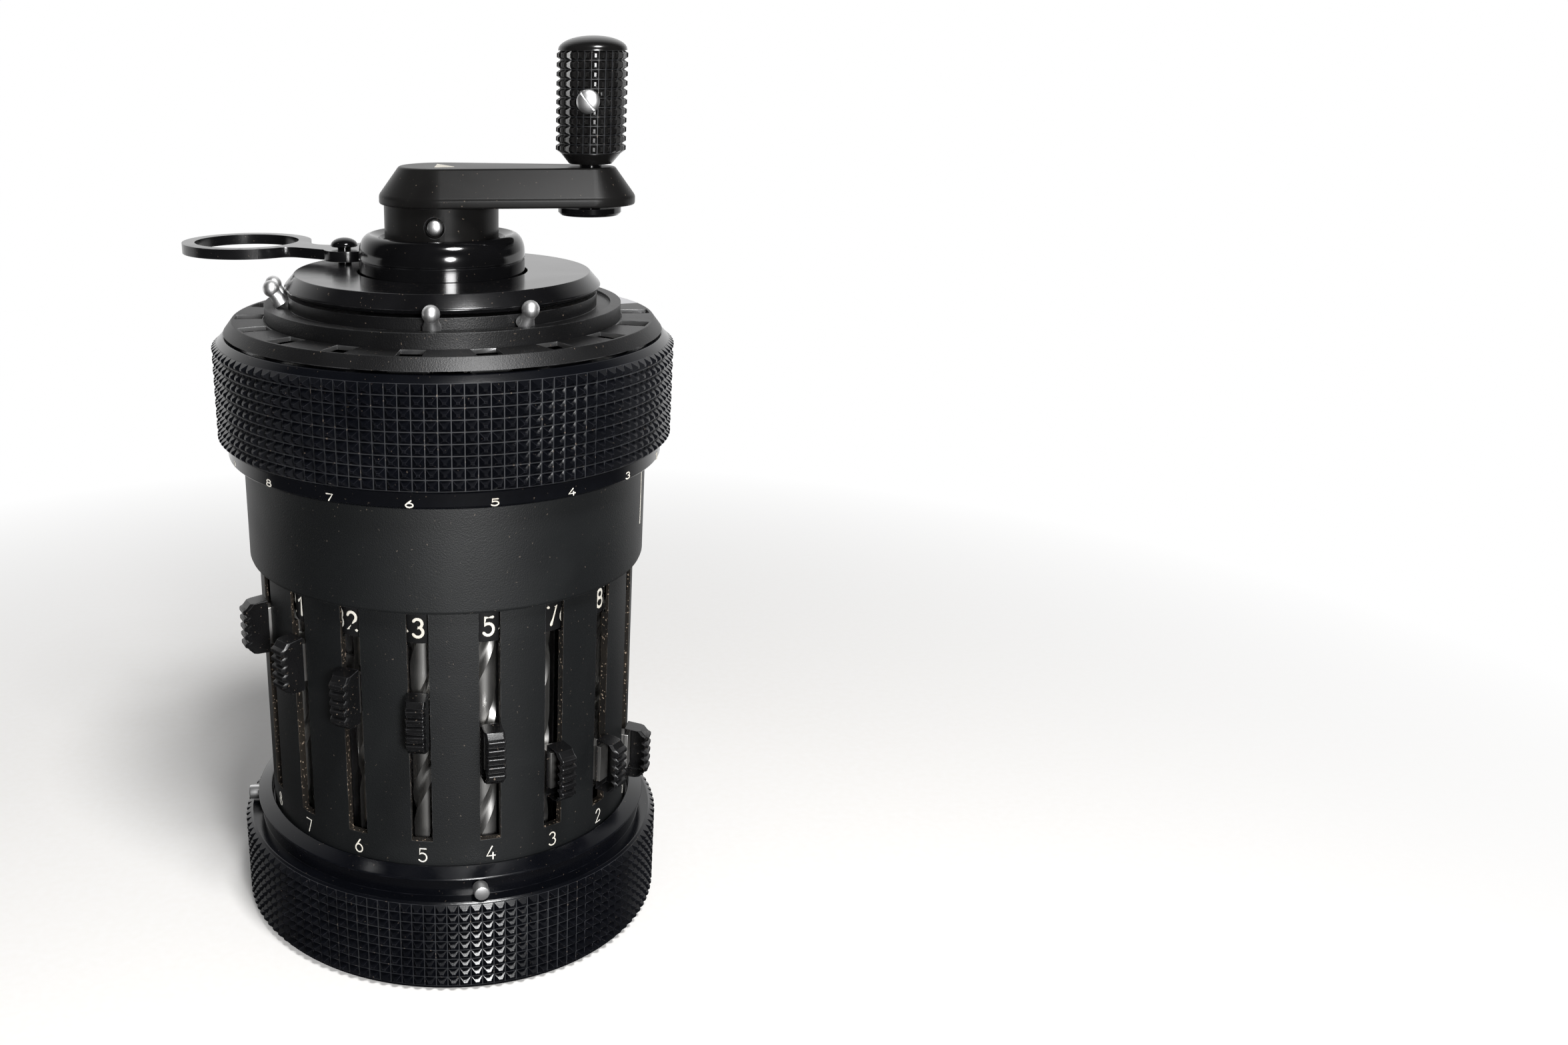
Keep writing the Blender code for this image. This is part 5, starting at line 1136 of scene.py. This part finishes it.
screw = turned([(0, 0), (screw_radius, 0)] + dome(screw_radius, screw_edge, screw_crown, 7), 32)
screw_cut = moved(block(cut_width, -cut_reach, cut_reach, cut_floor, cut_over), screw_turn)
screw = tipped(carved(screw, screw_cut), pi / 2)
screw = moved(screw, screw_azimuth, screw_height, knob_root + screw_sink)
knob_place = Matrix.Rotation(crank_azimuth, 3, "Z") @ Vector((0, -crank_length, 0))
bmesh.ops.translate(screw, vec=knob_place, verts=screw.verts)
add_piece("knob_screw", screw, bright_finish, "knob", slot="silver")


# Floor: a sheet of pale paper that keeps the calculator's shadow and fades to white away from it.
# In reflections its colour is painted dark on the camera's side, a painted shade.
floor_colour, fibre_colour, floor_reach = (0.92, 0.90, 0.87, 1), (0.96, 0.95, 0.94, 1), 4.0
dark_until, pale_from, dark_share = 0.03, 0.16, 0.01
fade_from, white_from, shadow_share = 0.07, 0.2, 0.1
white, black = (1, 1, 1, 1), (0, 0, 0, 1)


def seen_share(tree, ray, behind):
    """How white a ray finds things: fully from the lens or through glass, by a share in reflections."""
    straight = calc(tree, "MAXIMUM", ray["Is Camera Ray"], ray["Is Transmission Ray"])
    return calc(tree, "MAXIMUM", straight, calc(tree, "MULTIPLY", ray["Is Glossy Ray"], behind))


floor = bmesh.new()
bmesh.ops.create_circle(floor, cap_ends=True, segments=64, radius=floor_reach)
floor_finish = bpy.data.materials.new("pale paper")
floor_finish.use_nodes = True
tree = floor_finish.node_tree
place = shader(tree, "TexCoord").outputs["Object"]
fibres = shader(tree, "TexNoise", Vector=place, Scale=900, Detail=4)
sheet = tint(tree, fibres.outputs[0], floor_colour, fibre_colour)
ray = shader(tree, "LightPath").outputs
depth = shader(tree, "SeparateXYZ", Vector=place).outputs[1]
behind = spread(tree, depth, dark_until, pale_from, dark_share)
# Painted shade: for reflections, the paper's colour goes to black on the camera's side.
painted_reflection_dark = calc(tree, "MULTIPLY", ray["Is Glossy Ray"], calc(tree, "SUBTRACT", 1.0, behind))
paper = tree.nodes["Principled BSDF"]
feed(tree, paper, Roughness=0.8, Base_Color=tint(tree, painted_reflection_dark, sheet, black))
away = shader(tree, "VectorMath")
away.operation = "LENGTH"
connect(tree, away.inputs[0], place)
fade = spread(tree, away.outputs["Value"], fade_from, white_from, shadow_share)
fading = calc(tree, "MULTIPLY", seen_share(tree, ray, behind), fade)
backdrop = shader(tree, "Emission", Color=white, Strength=1.0)
mixed = shader(tree, "MixShader")
for socket, source in zip(mixed.inputs, (fading, paper.outputs[0], backdrop.outputs[0])):
    connect(tree, socket, source)
feed(tree, tree.nodes["Material Output"], Surface=mixed.outputs[0])
floor_piece = new_object("floor", mesh_of("floor", floor))
floor_piece.data.materials.append(floor_finish)


# Light: a soft lamp at the right of the lens, another above it, and a plain room that is white behind
# the calculator and dim on the camera's side.
dim_until, bright_behind, dim_share, room_share = 0.3, 0.8, 0.02, 0.2
world = bpy.data.worlds.new("room")
world.use_nodes = True
bpy.context.scene.world = world
tree = world.node_tree
ray = shader(tree, "LightPath").outputs
direction = shader(tree, "TexCoord").outputs["Generated"]
backwards = shader(tree, "SeparateXYZ", Vector=direction).outputs[1]
behind = spread(tree, backwards, dim_until, bright_behind, dim_share)
room_light = calc(tree, "MULTIPLY", ray["Is Diffuse Ray"], room_share)
strength = calc(tree, "MAXIMUM", seen_share(tree, ray, behind), room_light)
feed(tree, tree.nodes["Background"], Color=white, Strength=strength)


def add_lamp(name, place, aim, size, power):
    lamp = bpy.data.lights.new(name, "AREA")
    lamp.shape = "DISK"
    lamp.size = size
    lamp.energy = power
    turn = (Vector(aim) - Vector(place)).to_track_quat("-Z", "Y").to_matrix().to_4x4()
    new_object(name, lamp).matrix_world = Matrix.Translation(place) @ turn


add_lamp("key", place=(0.052, -0.30, 0.125), aim=(0, 0, 0.055), size=0.07, power=0.8)
add_lamp("top", place=(0.07, -0.17, 0.36), aim=(0, 0.03, 0), size=0.10, power=1.15)
bpy.context.scene.view_settings.view_transform = "Standard"
